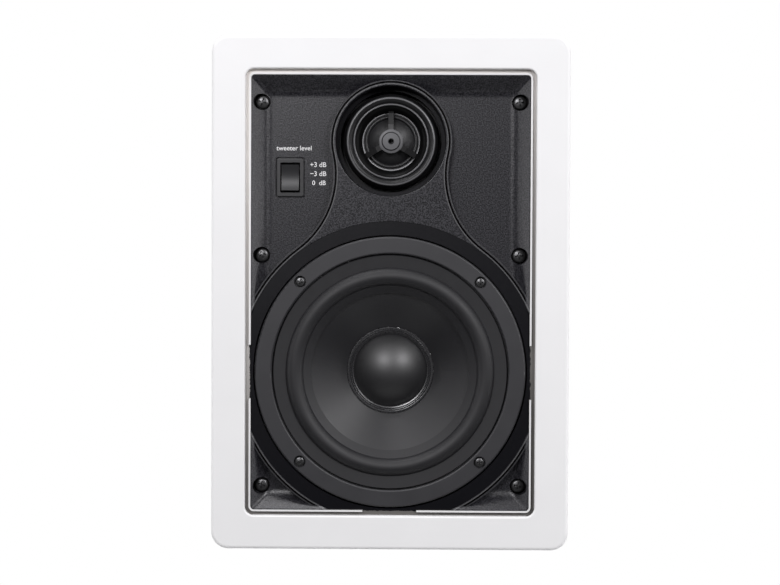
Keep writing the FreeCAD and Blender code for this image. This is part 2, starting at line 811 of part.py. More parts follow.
def woofer_surround():
    """Rubber half roll between the rim and the cone."""
    t = surround_sheet
    front = sheet_y - lip_depth
    mid = (lip_inner_r + roll_inner_r) / 2
    top = front - roll_rise
    inner_r = roll_inner_r - inner_lip_width
    drop = inner_lip_width * cone_slope
    return turned([
        (lip_outer_r, front), ((lip_outer_r + 0.3, front + 0.3), (lip_outer_r + 0.3, front + 0.6)),
        (lip_outer_r + 0.3, sheet_y), (lip_inner_r - t * 0.6, sheet_y),
        ((mid, top + t), (roll_inner_r + t * 0.6, sheet_y)),
        (roll_inner_r, sheet_y), (inner_r, sheet_y + drop), (inner_r, sheet_y + drop - t),
        (roll_inner_r, sheet_y - t - 0.1), ((mid, top), (lip_inner_r, front)),
    ], woofer_z)


def cone_at(r):
    """Y of the front of the cone at radius r."""
    return sheet_y + (roll_inner_r - r) * cone_slope


def woofer_cone():
    r0, r1 = roll_inner_r, coil_r
    return turned([
        (r0, cone_at(r0)), (r0, cone_at(r0) + cone_sheet),
        (r1, cone_at(r1) + cone_sheet), (r1, cone_at(r1)),
    ], woofer_z)


def woofer_dust_cap():
    """Convex cap with a conical skirt that is glued to the cone."""
    t = cap_sheet
    out = cap_r + cap_skirt
    rim = cone_at(cap_r) - t
    ball = (cap_r ** 2 + cap_rise ** 2) / (2 * cap_rise)
    centre = rim - cap_rise + ball
    inside = ball - t
    root = cap_r - t

    def bow(radius, r):
        return (r, centre - math.sqrt(radius ** 2 - r ** 2))

    return turned([
        bow(ball, 0.0), (bow(ball, cap_r / 2), bow(ball, cap_r)),
        (out, cone_at(out) - t), (out, cone_at(out)), (root, cone_at(root)), bow(inside, root),
        (bow(inside, root / 2), bow(inside, 0.0)),
    ], woofer_z)


def coil_spans():
    middle = plate_y + top_plate_h / 2
    return middle - coil_height / 2, middle + coil_height / 2


def woofer_former():
    y0 = cone_at(coil_r) - 1.0
    return hoop(coil_r, former_r, y0, coil_spans()[1] + 0.5, 0, woofer_z)


def woofer_coil():
    y0, y1 = coil_spans()
    return hoop(coil_r + coil_wall, coil_r, y0, y1, 0, woofer_z)


def woofer_spider():
    """Corrugated cloth disc that centres the coil."""
    t = spider_sheet
    y = shelf_y - t
    r0 = coil_r
    r1 = shelf_inner_r - 0.5
    start = r0 + 2.0
    step = (r1 - start) / (2 * spider_waves)
    front = [(r0, y), (start, y)]
    back = [(r0, y + t), (start, y + t)]
    for i in range(2 * spider_waves):
        a = start + i * step
        lift = spider_wave if i % 2 else -spider_wave
        front.append(((a + step / 2, y + lift), (a + step, y)))
        back.append(((a + step / 2, y + t + lift), (a + step, y + t)))
    edge = shelf_inner_r + spider_lip
    path = front + [(edge, y), (edge, y + t)]
    here = [p if isinstance(p[0], float) else p[1] for p in back]
    for i in range(len(back) - 1, 0, -1):
        step_to = here[i - 1]
        if i == len(back) - 1:
            path.append(here[i])
        path.append((back[i][0], step_to) if isinstance(back[i][0], tuple) else step_to)
    return turned(path, woofer_z)


def woofer_top_plate():
    bore = coil_r + coil_wall + plate_gap
    return hoop(foot_r + basket_sheet, bore, plate_y, magnet_y, 0, woofer_z)


def woofer_magnet():
    ring = hoop(magnet_r, magnet_bore_r, magnet_y, yoke_y, 0, woofer_z)
    return ring.makeChamfer(0.8, [e for e in edges_at(ring, yoke_y) if e.BoundBox.XLength > magnet_r])


def woofer_yoke():
    """Back plate with the vented pole in one piece."""
    pole = disc(former_r - pole_gap, plate_y, yoke_y + 1, 0, woofer_z)
    plate = disc(back_plate_r, yoke_y, yoke_y + back_plate_h, 0, woofer_z)
    plate = plate.makeFillet(1.5, edges_at(plate, yoke_y + back_plate_h))
    yoke = join(plate, [pole])
    return yoke.cut(disc(pole_vent_r, plate_y - 1, yoke_y + back_plate_h + 1, 0, woofer_z))


def woofer_strip():
    """Fibre strip on the back of the spider shelf."""
    y0 = shelf_y + basket_sheet
    middle = woofer_z + (shelf_outer_r + shelf_inner_r) / 2
    low = middle - strip_height / 2
    return box(-strip_width / 2, strip_width / 2, y0, y0 + strip_wall, low, low + strip_height)


def woofer_tabs():
    y0 = shelf_y + basket_sheet + strip_wall
    middle = woofer_z + (shelf_outer_r + shelf_inner_r) / 2
    tabs = []
    for side in (-1, 1):
        x = side * strip_width * 0.27
        foot = box(x - tab_width / 2, x + tab_width / 2, y0, y0 + tab_wall, middle - 2, middle + 2)
        blade = box(x - tab_width / 2, x + tab_width / 2, y0, y0 + tab_length, middle + 1.2, middle + 2)
        tabs.append(join(foot, [blade]))
    return tabs


def on_ball(radius, angle):
    a = math.radians(angle)
    return radius * math.sin(a), ball_y - radius * math.cos(a)


def tweeter_shell():
    """Ball housing: rounded front ring and a spherical wall open at the back."""
    inner = ball_r - shell_wall
    front_angle = math.degrees(math.acos((ball_y - face_y - 2.2) / ball_r))
    rear_angle = math.degrees(math.acos(-shell_rear / ball_r))
    inner_rear = math.degrees(math.acos(-shell_rear / inner))
    ledge_y = face_y + 6.0
    inner_front = math.degrees(math.acos((ball_y - ledge_y) / inner))
    crest = (bead_outer_r + bead_inner_r) / 2
    start = on_ball(ball_r, front_angle)
    return turned([
        start, (on_ball(ball_r, (front_angle + rear_angle) / 2), on_ball(ball_r, rear_angle)),
        on_ball(inner, inner_rear),
        (on_ball(inner, (inner_front + inner_rear) / 2), on_ball(inner, inner_front)),
        (face_r + glue_fit, ledge_y), (face_r + glue_fit, face_y + 1.5),
        (bead_inner_r, face_y + 1.0), ((crest - 0.2, face_y), start),
    ], tweeter_z)


def tweeter_face():
    """Horn ring with a three-spoke guard and a vented hub, in one moulding."""
    y = face_y + face_bead
    back = dome_y
    ring = turned([
        (face_r, y), (face_r, back + 2.0), (dome_r + 5.2, back + 2.0), (dome_r + 5.2, back),
        (throat_r, back), (throat_r + 0.2, back - 1.0),
        ((throat_r + 1.1, back - 5.0), (face_r - 1.9, y + 0.3)),
        ((face_r - 1.0, y - 0.8), (face_r, y)),
    ], tweeter_z)
    hub_y = face_y + 0.4
    hub = turned([
        (hub_bore_r, hub_y), (hub_disc_r - 0.5, hub_y + 0.2),
        ((hub_disc_r - 0.1, hub_y + 0.4), (hub_disc_r, hub_y + 0.9)),
        (hub_disc_r + 0.3, hub_y + 0.9), (hub_r - 0.3, hub_y + 1.1),
        ((hub_r - 0.05, hub_y + 1.3), (hub_r, hub_y + 1.7)),
        (hub_r - 0.5, hub_y + hub_depth), (hub_bore_r, hub_y + hub_depth),
    ], tweeter_z)
    end = throat_r + 2.6
    y_in = hub_y + 1.2
    y_out = dome_y - 3.4
    profile = [
        (hub_r - 1.5, y_in), (hub_r + 3.0, y_in + 0.5), (end, y_out - 1.0), (end, y_out + 1.6),
        (hub_r + 3.0, y_in + 2.4), (hub_r - 1.5, y_in + 1.9),
    ]
    spokes = []
    for i in range(spoke_count):
        spoke = outline(profile).extrude(V(0, 0, spoke_width))
        spoke.translate(V(0, 0, -spoke_width / 2))
        spoke.rotate(V(0, 0, 0), DEPTH, -90 - 360.0 * i / spoke_count)
        spoke.translate(V(0, 0, tweeter_z))
        spokes.append(spoke)
    return join(ring, [hub] + spokes)


def dome_arc(offset):
    ball = (dome_r ** 2 + dome_rise ** 2) / (2 * dome_rise)
    half = dome_r * 0.5
    sag = ball - math.sqrt(ball ** 2 - half ** 2)
    top = dome_y - dome_rise + offset
    return (0.0, top), (half, top + sag), (dome_r, dome_y + offset)


def tweeter_dome():
    """Cloth dome, glued to the coil former."""
    top, half, edge = dome_arc(0.0)
    low_top, low_half, low_edge = dome_arc(dome_sheet)
    return turned([top, (half, edge), low_edge, (low_half, low_top)], tweeter_z)


def tweeter_surround():
    """Soft roll and lip round the dome, held between the faceplate and the top plate."""
    t = dome_sheet
    y = dome_y
    start = dome_r + glue_fit
    roll = throat_r - 0.4
    mid = (start + roll) / 2
    lip = dome_r + 5.0
    return turned([
        (start, y), ((mid, y - dome_roll), (roll, y)), (lip, y), (lip, y + t), (roll, y + t),
        ((mid, y + t - dome_roll), (start, y + t)),
    ], tweeter_z)


def tweeter_former():
    y0 = dome_y + dome_sheet
    y1 = motor_y + tweeter_plate_h + 1.0
    return hoop(dome_r - 0.2, dome_r - 0.2 - tweeter_former_wall, y0, y1, 0, tweeter_z)


def tweeter_coil():
    inner = dome_r - 0.2
    return hoop(inner + tweeter_coil_wall, inner, motor_y, motor_y + tweeter_coil_h, 0, tweeter_z)


def tweeter_top_plate():
    bore = dome_r - 0.2 + tweeter_coil_wall + tweeter_plate_gap
    return hoop(tweeter_motor_r, bore, motor_y, motor_y + tweeter_plate_h, 0, tweeter_z)


def tweeter_magnet():
    y0 = motor_y + tweeter_plate_h
    return hoop(tweeter_motor_r, dome_r + 2.5, y0, y0 + tweeter_magnet_h, 0, tweeter_z)


def tweeter_yoke():
    y0 = motor_y + tweeter_plate_h + tweeter_magnet_h
    pole = disc(dome_r - 0.2 - tweeter_former_wall - pole_gap, motor_y, y0 + 1, 0, tweeter_z)
    plate = disc(tweeter_motor_r, y0, y0 + tweeter_back_h, 0, tweeter_z)
    plate = plate.makeFillet(0.8, edges_at(plate, y0 + tweeter_back_h))
    return join(plate, [pole])


def tweeter_tabs():
    """Terminal plate and two tabs on the back of the motor."""
    y0 = motor_y + tweeter_plate_h + tweeter_magnet_h + tweeter_back_h
    plate = slab(18.0, 9.0, 1.0, y0, y0 + 1.2, tweeter_z)
    tabs = []
    for side in (-1, 1):
        x = side * 5.5
        tabs.append(box(x - 1.4, x + 1.4, y0 + 1.2 - 0.4, y0 + 6.5, tweeter_z - 0.3, tweeter_z + 0.3))
    return join(plate, tabs)


def swivel_ring():
    """Nylon bearing ring between the ball and its retainer."""
    inner = ball_r + run_fit
    outer = inner + ring_wall
    mid = (ring_front_angle + ring_rear_angle) / 2
    return turned([
        on_ball(inner, ring_front_angle), on_ball(outer, ring_front_angle),
        (on_ball(outer, mid), on_ball(outer, ring_rear_angle)), on_ball(inner, ring_rear_angle),
        (on_ball(inner, mid), on_ball(inner, ring_front_angle)),
    ], tweeter_z)


def swivel_retainer():
    """Ring screwed on behind the well that keeps the ball in."""
    rear_y = ball_y + retainer_h
    rear_angle = math.degrees(math.acos(-retainer_h / socket_r))
    ring = turned([
        (socket_r, ball_y), (retainer_r, ball_y), (retainer_r, ball_y + retainer_ear_h),
        (on_ball(socket_r, rear_angle)[0] + 2.6, rear_y), on_ball(socket_r, rear_angle),
        (on_ball(socket_r, (90 + rear_angle) / 2), (socket_r, ball_y)),
    ], tweeter_z)
    ears = []
    for x, z in retainer_places():
        ears.append(disc(retainer_ear_r, ball_y, ball_y + retainer_ear_h, x, z))
    keep_out = turned([
        (0.0, ball_y - 1), (socket_r, ball_y - 1), (socket_r, ball_y),
        (on_ball(socket_r, (90 + rear_angle) / 2), on_ball(socket_r, rear_angle)), (0.0, rear_y),
    ], tweeter_z)
    ring = join(ring, ears).cut(keep_out)
    holes = [disc(retainer_screw_r + 0.3, ball_y - 1, ball_y + over, x, z) for x, z in retainer_places()]
    return ring.cut(holes)


def retainer_screws():
    seat = ball_y + retainer_ear_h
    return [
        rear_screw(retainer_head_r, retainer_head_h, retainer_screw_r, seat, ball_y - 6.5, x, z)
        for x, z in retainer_places()
    ]


def switch_body():
    """Bezel and box of the level switch."""
    bezel = slab(bezel_width, bezel_height, bezel_corner, bezel_y, bezel_y + bezel_depth)
    bezel = bezel.makeFillet(0.6, edges_at(bezel, bezel_y))
    y0 = bezel_y + bezel_depth
    case = slab(switch_box_width, switch_box_height, 0.5, y0 - 0.5, y0 + switch_box_depth)
    body = join(bezel, [case])
    room = slab(rocker_window_width, rocker_window_height, 0.6, bezel_y - 1, pivot_y + 6.0)
    body = body.cut(room)
    reach = rocker_width / 2 + rocker_pin_reach + 0.1
    pin = Part.makeCylinder(rocker_pin_r + run_fit, 2 * reach, V(-reach, pivot_y, 0), V(1, 0, 0))
    body = body.cut(pin)
    body.translate(V(switch_x, 0, switch_z))
    return body


def switch_rocker():
    """Hollow-faced rocker on two pins, in its middle position."""
    half = rocker_height / 2
    top = bezel_y - rocker_proud
    dip = top + rocker_hollow
    p = [V(0, top, half), V(0, dip, 0), V(0, top, -half)]
    low = V(0, pivot_y - 0.4, 0.4 - half)
    high = V(0, pivot_y - 0.4, half - 0.4)
    heel = V(0, pivot_y + 3.6, -2.6)
    toe = V(0, pivot_y + 3.6, 2.6)
    edges = [Part.Arc(*p).toShape()]
    for a, b in ((p[2], low), (low, heel), (heel, toe), (toe, high), (high, p[0])):
        edges.append(Part.LineSegment(a, b).toShape())
    body = Part.Face(Part.Wire(edges)).extrude(V(rocker_width, 0, 0))
    body.translate(V(-rocker_width / 2, 0, 0))
    reach = rocker_width / 2 + rocker_pin_reach
    body = join(body, [Part.makeCylinder(rocker_pin_r, 2 * reach, V(-reach, pivot_y, 0), V(1, 0, 0))])
    body.translate(V(switch_x, 0, switch_z))
    return body


def switch_blades():
    y0 = bezel_y + bezel_depth + switch_box_depth
    blades = []
    for i in (-1, 0, 1):
        x0 = switch_x - blade_width / 2
        z0 = switch_z + i * blade_pitch - blade_wall / 2
        blades.append(box(x0, x0 + blade_width, y0, y0 + blade_length, z0, z0 + blade_wall))
    return blades


def clamp_screws():
    return [
        pan_screw(clamp_head_r, clamp_head_h, clamp_shank_r, pocket_y, pocket_y + clamp_screw_reach, x, z)
        for x, z in clamps
    ]


def clamp_stops():
    """Push-on caps that keep each clamp from leaving its screw."""
    end = pocket_y + clamp_screw_reach
    return [hoop(stop_r, clamp_shank_r, end - stop_h, end, x, z) for x, z in clamps]


def clamp_insert(x, z):
    y0 = dog_rest_y
    y1 = dog_rest_y + dog_length
    body = disc(insert_r, y0, y1, x, z)
    body = join(body, [disc(insert_flange_r, y1, y1 + insert_flange_h, x, z)])
    return body.cut(disc(clamp_shank_r + run_fit, y0 - 1, y1 + over, x, z))


def clamp_dog(x, z):
    """Swing clamp, stowed along the frame. It turns a quarter to reach past the collar."""
    y0 = dog_rest_y
    hub = disc(dog_hub_r, y0, y0 + dog_length)
    half = dog_arm_width / 2
    arm = box(-half, half, y0, y0 + dog_arm_depth, 0, dog_arm_reach - half)
    tip = disc(half, y0, y0 + dog_arm_depth, 0, dog_arm_reach - half)
    rib = Part.Face(Part.makePolygon([
        V(-1.2, y0 + dog_arm_depth - 1, 0), V(-1.2, y0 + dog_length, 0),
        V(-1.2, y0 + dog_length, dog_hub_r), V(-1.2, y0 + dog_arm_depth - 1, dog_arm_reach - half),
        V(-1.2, y0 + dog_arm_depth - 1, 0),
    ])).extrude(V(2.4, 0, 0))
    dog = join(hub, [arm, tip, rib])
    for i in range(3):
        at = dog_arm_reach - 1.6 - i * 2.6
        tooth = Part.Face(Part.makePolygon([
            V(-half - 1, y0 - 0.1, at), V(-half - 1, y0 + dog_tooth, at - 1.0),
            V(-half - 1, y0 - 0.1, at - 2.0), V(-half - 1, y0 - 0.1, at),
        ])).extrude(V(dog_arm_width + 2, 0, 0))
        dog = dog.cut(tooth)
    dog = dog.cut(disc(insert_r + run_fit, y0 - 1, y0 + dog_length + 1))
    if x < 0:
        dog.rotate(V(0, 0, 0), DEPTH, 180)
    dog.translate(V(x, 0, z))
    return dog


def board():
    top = board_bottom + board_height
    plate = box(board_left, board_left + board_width, board_y, board_back, board_bottom, top)
    holes = [disc(board_screw_r + 0.3, board_y - 1, board_back + 1, x, z) for x, z in board_screw_places()]
    return plate.cut(holes)


def board_screws():
    return [
        rear_screw(board_head_r, board_head_h, board_screw_r, board_back, floor_back - 0.5, x, z)
        for x, z in board_screw_places()
    ]


def choke_bobbin():
    core = disc(choke_core_r, board_back, board_back + choke_h, board_x, choke_z)
    low = disc(choke_r, board_back, board_back + choke_flange, board_x, choke_z)
    high_y = board_back + choke_h
    high = disc(choke_r, high_y - choke_flange, high_y, board_x, choke_z)
    bobbin = join(core, [low, high])
    return bobbin.cut(disc(choke_core_r - 1.5, board_back - 1, high_y + 1, board_x, choke_z))


def choke_winding():
    y0 = board_back + choke_flange
    y1 = board_back + choke_h - choke_flange
    return hoop(choke_r - 1.0, choke_core_r, y0, y1, board_x, choke_z)


def capacitor(side):
    x = board_x + side * can_pitch / 2
    can = disc(can_r, board_back, board_back + can_h, x, can_z)
    return can.makeFillet(0.9, edges_at(can, board_back + can_h))


def resistors():
    out = []
    for i in range(2):
        z = resistor_z + i * resistor_pitch
        x0 = board_x - resistor_length / 2
        body = box(x0, x0 + resistor_length, board_back, board_back + resistor_wall, z - 2.3, z + 2.3)
        out.append(body)
    return out


def pole_x(side):
    return board_x + side * pole_pitch / 2


def button_z():
    return block_z + button_rise


def terminal_block():
    """Two-pole push terminal: wire holes below, spring buttons above."""
    x0 = board_x - block_width / 2
    y1 = board_back + block_depth
    z0 = block_z - block_height / 2
    block = box(x0, x0 + block_width, board_back, y1, z0, z0 + block_height)
    block = block.makeFillet(0.8, edges_at(block, y1))
    for side in (-1, 1):
        x = pole_x(side)
        block = block.cut(disc(wire_hole_r, y1 - wire_hole_depth, y1 + 1, x, block_z - wire_hole_drop))
        half_w = button_width / 2 + slide_fit
        half_h = button_height / 2 + slide_fit
        z = button_z()
        block = block.cut(box(x - half_w, x + half_w, y1 - button_well, y1 + 1, z - half_h, z + half_h))
    return block


def terminal_button(side):
    x = pole_x(side)
    z = button_z()
    y1 = board_back + block_depth
    key = box(
        x - button_width / 2, x + button_width / 2, y1 - button_inside, y1 + button_proud,
        z - button_height / 2, z + button_height / 2,
    )
    return key.makeFillet(0.7, edges_at(key, y1 + button_proud))


pieces = {
    "mounting_frame": mounting_frame(),
    "baffle": baffle(),
    "baffle_tie_screws": tie_screws(),
    "woofer_gasket": woofer_gasket(),
    "woofer_basket": woofer_basket(),
    "woofer_trim_ring": woofer_trim(),
    "woofer_screws": woofer_screws(),
    "woofer_surround": woofer_surround(),
    "woofer_spider": woofer_spider(),
    "woofer_cone": woofer_cone(),
    "woofer_dust_cap": woofer_dust_cap(),
    "woofer_coil_former": woofer_former(),
    "woofer_coil_winding": woofer_coil(),
    "woofer_top_plate": woofer_top_plate(),
    "woofer_magnet": woofer_magnet(),
    "woofer_yoke": woofer_yoke(),
    "woofer_terminal_strip": woofer_strip(),
    "woofer_terminal_tabs": woofer_tabs(),
    "tweeter_ball_shell": tweeter_shell(),
    "tweeter_faceplate": tweeter_face(),
    "tweeter_dome": tweeter_dome(),
    "tweeter_surround": tweeter_surround(),
    "tweeter_coil_former": tweeter_former(),
    "tweeter_coil_winding": tweeter_coil(),
    "tweeter_top_plate": tweeter_top_plate(),
    "tweeter_magnet": tweeter_magnet(),
    "tweeter_yoke": tweeter_yoke(),
    "tweeter_terminals": tweeter_tabs(),
    "swivel_bearing_ring": swivel_ring(),
    "swivel_retainer": swivel_retainer(),
    "swivel_retainer_screws": retainer_screws(),
    "switch_body": switch_body(),
    "switch_rocker": switch_rocker(),
    "switch_blades": switch_blades(),
    "clamp_screws": clamp_screws(),
    "clamp_stop_caps": clamp_stops(),
    "crossover_board": board(),
    "crossover_screws": board_screws(),
    "crossover_choke_bobbin": choke_bobbin(),
    "crossover_choke_winding": choke_winding(),
    "crossover_woofer_capacitor": capacitor(-1),
    "crossover_tweeter_capacitor": capacitor(1),
    "crossover_resistors": resistors(),
    "terminal_block": terminal_block(),
    "terminal_button_red": terminal_button(1),
    "terminal_button_black": terminal_button(-1),
}
for number, (x, z) in enumerate(clamps, 1):
    pieces["clamp_dog_%d" % number] = clamp_dog(x, z)
    pieces["clamp_insert_%d" % number] = clamp_insert(x, z)

os.makedirs("parts", exist_ok=True)
for node, shape in pieces.items():
    if isinstance(shape, list):
        shape = Part.makeCompound(shape)
    shape.exportStep("parts/%s.step" % node)
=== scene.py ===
import math

import bmesh
import bpy
from mathutils import Matrix, Vector, noise


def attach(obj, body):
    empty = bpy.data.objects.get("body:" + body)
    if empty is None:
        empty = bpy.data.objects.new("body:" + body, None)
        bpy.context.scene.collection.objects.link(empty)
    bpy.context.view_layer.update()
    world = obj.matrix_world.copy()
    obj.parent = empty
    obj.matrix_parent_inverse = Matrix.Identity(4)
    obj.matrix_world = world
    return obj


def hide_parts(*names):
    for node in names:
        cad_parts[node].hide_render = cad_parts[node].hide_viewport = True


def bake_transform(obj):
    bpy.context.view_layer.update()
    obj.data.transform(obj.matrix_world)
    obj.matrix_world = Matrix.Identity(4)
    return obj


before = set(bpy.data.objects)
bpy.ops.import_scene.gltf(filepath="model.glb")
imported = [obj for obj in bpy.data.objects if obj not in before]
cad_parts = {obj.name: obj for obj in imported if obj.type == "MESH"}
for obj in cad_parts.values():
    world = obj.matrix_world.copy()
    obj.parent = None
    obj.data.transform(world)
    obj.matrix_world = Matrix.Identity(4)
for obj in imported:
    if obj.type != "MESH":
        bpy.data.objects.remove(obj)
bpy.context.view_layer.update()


# Mounting frame. Beige ABS, injection moulded and sprayed satin white; the paint thins out in the
# channel round the opening, which takes the edge of a grille, and the channel's colour is bare plastic
# darkened by painted shade, lighter at the upper left and darker at the lower right as painted light.
# It hangs in the wall by its flange.
class Shade:
    """A socket of a material's nodes. Sums on it add Math nodes, and node() adds any other."""

    def __init__(self, tree, socket=None):
        self.tree, self.socket = tree, socket

    def node(self, kind, settings={}, sockets={}, output=0):
        made = self.tree.nodes.new("ShaderNode" + kind)
        for name, value in settings.items():
            setattr(made, name, value)
        for name, value in sockets.items():
            if isinstance(value, Shade):
                self.tree.links.new(value.socket, made.inputs[name])
            else:
                made.inputs[name].default_value = value
        return Shade(self.tree, made.outputs[output])

    def math(self, operation, first, second=0.0):
        return self.node("Math", {"operation": operation}, {0: first, 1: second})

    def __add__(self, other): return self.math("ADD", self, other)
    def __sub__(self, other): return self.math("SUBTRACT", self, other)
    def __rsub__(self, other): return self.math("SUBTRACT", other, self)
    def __mul__(self, other): return self.math("MULTIPLY", self, other)
    def __truediv__(self, other): return self.math("DIVIDE", self, other)
    def __pow__(self, other): return self.math("POWER", self, other)
    def __lt__(self, other): return self.math("LESS_THAN", self, other)
    def __gt__(self, other): return self.math("GREATER_THAN", self, other)
    __radd__, __rmul__ = __add__, __mul__


def cloud(place, size, detail=2.0):
    """Soft noise from 0 to 1, with patches of about that size in metres."""
    return place.node("TexNoise", {}, {"Vector": place, "Scale": 1 / size, "Detail": detail})


def tint(share, first, second):
    """The first colour where share is 0, the second where it is 1."""
    return share.node("Mix", {"data_type": "RGBA"},
                      {"Factor": share, 6: (*first, 1), 7: (*second, 1)}, output=2)


def blended(share, first, second):
    """Like tint, between two colours that vary."""
    return share.node("Mix", {"data_type": "RGBA"}, {"Factor": share, 6: first, 7: second}, output=2)


def split(place):
    """The X, Y and Z of a place: across, depth and up."""
    return [place.node("SeparateXYZ", {}, {"Vector": place}, output=axis) for axis in "XYZ"]


def ramp(value, low, high):
    """0 up to the low value, 1 from the high one on."""
    return value.node("MapRange", {}, {"Value": value, "From Min": low, "From Max": high})


def relief(height, depth):
    """A surface raised by that depth in metres where height is 1."""
    return height.node("Bump", {}, {"Height": height, "Distance": depth})


def finish(name, varying, **fixed):
    """A material: fixed sets the shader's sockets, and varying(place) links the ones that change.
    The shade share that varying may give mixes a flat near-black diffuse over the surface: painted shade, for
    surfaces that lie deep in a gap."""
    material = bpy.data.materials.new(name)
    material.use_nodes = True
    tree = material.node_tree
    shader = tree.nodes["Principled BSDF"]
    for socket, value in fixed.items():
        shader.inputs[socket.replace("_", " ")].default_value = value
    place = Shade(tree).node("TexCoord", output="Object")
    values = varying(place)
    painted_shade = values.pop("Recess", None)
    for socket, value in values.items():
        tree.links.new(value.socket, shader.inputs[socket])
    # Painted shade: a flat near-black diffuse mixed over the surface by the shade share.
    if painted_shade:
        shade_black = place.node("BsdfDiffuse", {}, {"Color": (0.003, 0.003, 0.003, 1)})
        mixed = place.node("MixShader", {}, {"Fac": painted_shade, 1: Shade(tree, shader.outputs[0]), 2: shade_black})
        tree.links.new(mixed.socket, tree.nodes["Material Output"].inputs["Surface"])
    return material


def dress(material, *nodes):
    """Gives a CAD node's object that material."""
    for node in nodes:
        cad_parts[node].material_slots[0].material = material


def white_moulding(place):
    half_width, half_height = 0.0879, 0.1353
    shoulder, channel_floor = -0.0042, -0.0034
    across, depth, up = split(place)
    inside = (across.math("ABSOLUTE", across) < half_width) * (up.math("ABSOLUTE", up) < half_height)
    # The channel's colour: bare plastic darkened by painted shade, lighter at the upper left and darker at
    # the lower right as painted light.
    channel_share = inside * ramp(depth, shoulder, channel_floor)
    mottle = cloud(place, 0.03)
    spark = cloud(place, 0.0007, 3.0)
    painted = tint(mottle, (0.80, 0.80, 0.80), (0.84, 0.84, 0.84))
    painted_light_slope = ramp(up - across * 0.55, -0.135, 0.135)
    channel_colour_and_shade = tint(painted_light_slope ** 1.6 + 0.04 * mottle, (0.085, 0.08, 0.074), (0.84, 0.81, 0.78))
    return {"Base Color": blended(channel_share, painted, channel_colour_and_shade),
            "Roughness": 0.36 + 0.14 * spark + 0.1 * channel_share,
            "Normal": relief(spark, 0.00001)}


dress(finish("frame_white", white_moulding), "mounting_frame")


# Baffle. Black ABS moulding that carries both drivers; its tool is etched with a fine grain
# everywhere but on the land round the woofer and on the turned wall of the tweeter's well.
woofer_z = -0.0481
tweeter_z = 0.0922
clamp_x, clamp_rows = 78.4, (115.8, 22.7, -118.0)


def from_axis(place, z):
    """Distance in metres from a driver's axis, which runs along Y at that height."""
    flat = place.node("VectorMath", {"operation": "MULTIPLY"}, {0: place, 1: (1, 0, 1)})
    away = place.node("VectorMath", {"operation": "SUBTRACT"}, {0: flat, 1: (0, 0, z)})
    return place.node("VectorMath", {"operation": "LENGTH"}, {0: away}, output="Value")


def pear_inset(place, half, up):
    """How far inside the plateau's outline a point is: two circles joined by hollow arcs."""
    woofer_r, tweeter_r, flank_r = 0.0946, 0.0370, 0.0550
    flank_x, flank_z = 0.08968, 0.07164
    woofer_arc = woofer_r - from_axis(place, woofer_z)
    tweeter_arc = tweeter_r - from_axis(place, tweeter_z)
    side, rise = half - flank_x, up - flank_z
    flank = (side * side + rise * rise) ** 0.5 - flank_r
    low = up < half * ((flank_z - woofer_z) / flank_x) + woofer_z
    high = up > tweeter_z - half * ((tweeter_z - flank_z) / flank_x)
    return low * woofer_arc + high * tweeter_arc + (1 - low - high) * flank


def grained_black(place):
    land_r, well_r, pocket_r = 0.0917, 0.0338, 0.00497
    across, depth, up = split(place)
    half = across.math("ABSOLUTE", across)
    land = from_axis(place, woofer_z) < land_r
    well = from_axis(place, tweeter_z) < well_r
    inset = pear_inset(place, half, up)
    # Painted shadow: the pear groove, the clamp screws' pockets and the tweeter's well get a near-black mixed
    # over them.
    groove_shadow = (inset > 0.00076) * (inset < 0.00204) * (depth > -0.0025)
    # A light grey line along the plateau's edges is a painted highlight.
    outer_edge_highlight = 0.3 * (inset > -0.0001) * (inset < 0.0009)
    plateau_edge_highlight = ((inset > 0.0019) + outer_edge_highlight) * (inset < 0.0026) * (depth < -0.0021)
    aside = half - clamp_x / 1000
    pocket_shadow = 0.0
    for row in clamp_rows:
        above = up - row / 1000
        pocket_shadow = (above * above + aside * aside < pocket_r ** 2) + pocket_shadow
    etched = 1 - land - well
    pebble = place.node("TexVoronoi", {}, {"Vector": place, "Scale": 900.0})
    fine = cloud(place, 0.0008, 3.0)
    grain = 0.3 * pebble + 0.7 * fine
    speck = ramp(fine, 0.40, 0.62)
    dark = tint(speck * etched + 0.5 * well, (0.001, 0.0009, 0.0025), (0.036, 0.0355, 0.0410))
    highlight_grey = (0.085, 0.085, 0.088, 1)
    return {"Base Color": blended(plateau_edge_highlight, dark, highlight_grey),
            "Roughness": 0.25 + 0.03 * etched + 0.10 * fine,
            "Normal": relief(grain * etched, 0.00010),
            "Recess": 0.92 * groove_shadow + 0.4 * well + 0.8 * pocket_shadow}


baffle_black = finish("baffle_black", grained_black)
dress(baffle_black, "baffle")


# Moulding flash. Where the frame's ridge is notched, the baffle's edge keeps a thin, ragged web of
# plastic from the mould, which lies on the channel's floor.
def made_object(mesh, name, smooth=True):
    for face in mesh.faces:
        face.smooth = smooth
    for edge in mesh.edges:
        edge.smooth = len(edge.link_faces) < 2 or edge.calc_face_angle() < 0.6
    data = bpy.data.meshes.new(name)
    mesh.to_mesh(data)
    mesh.free()
    piece = bpy.data.objects.new(name, data)
    bpy.context.scene.collection.objects.link(piece)
    return piece


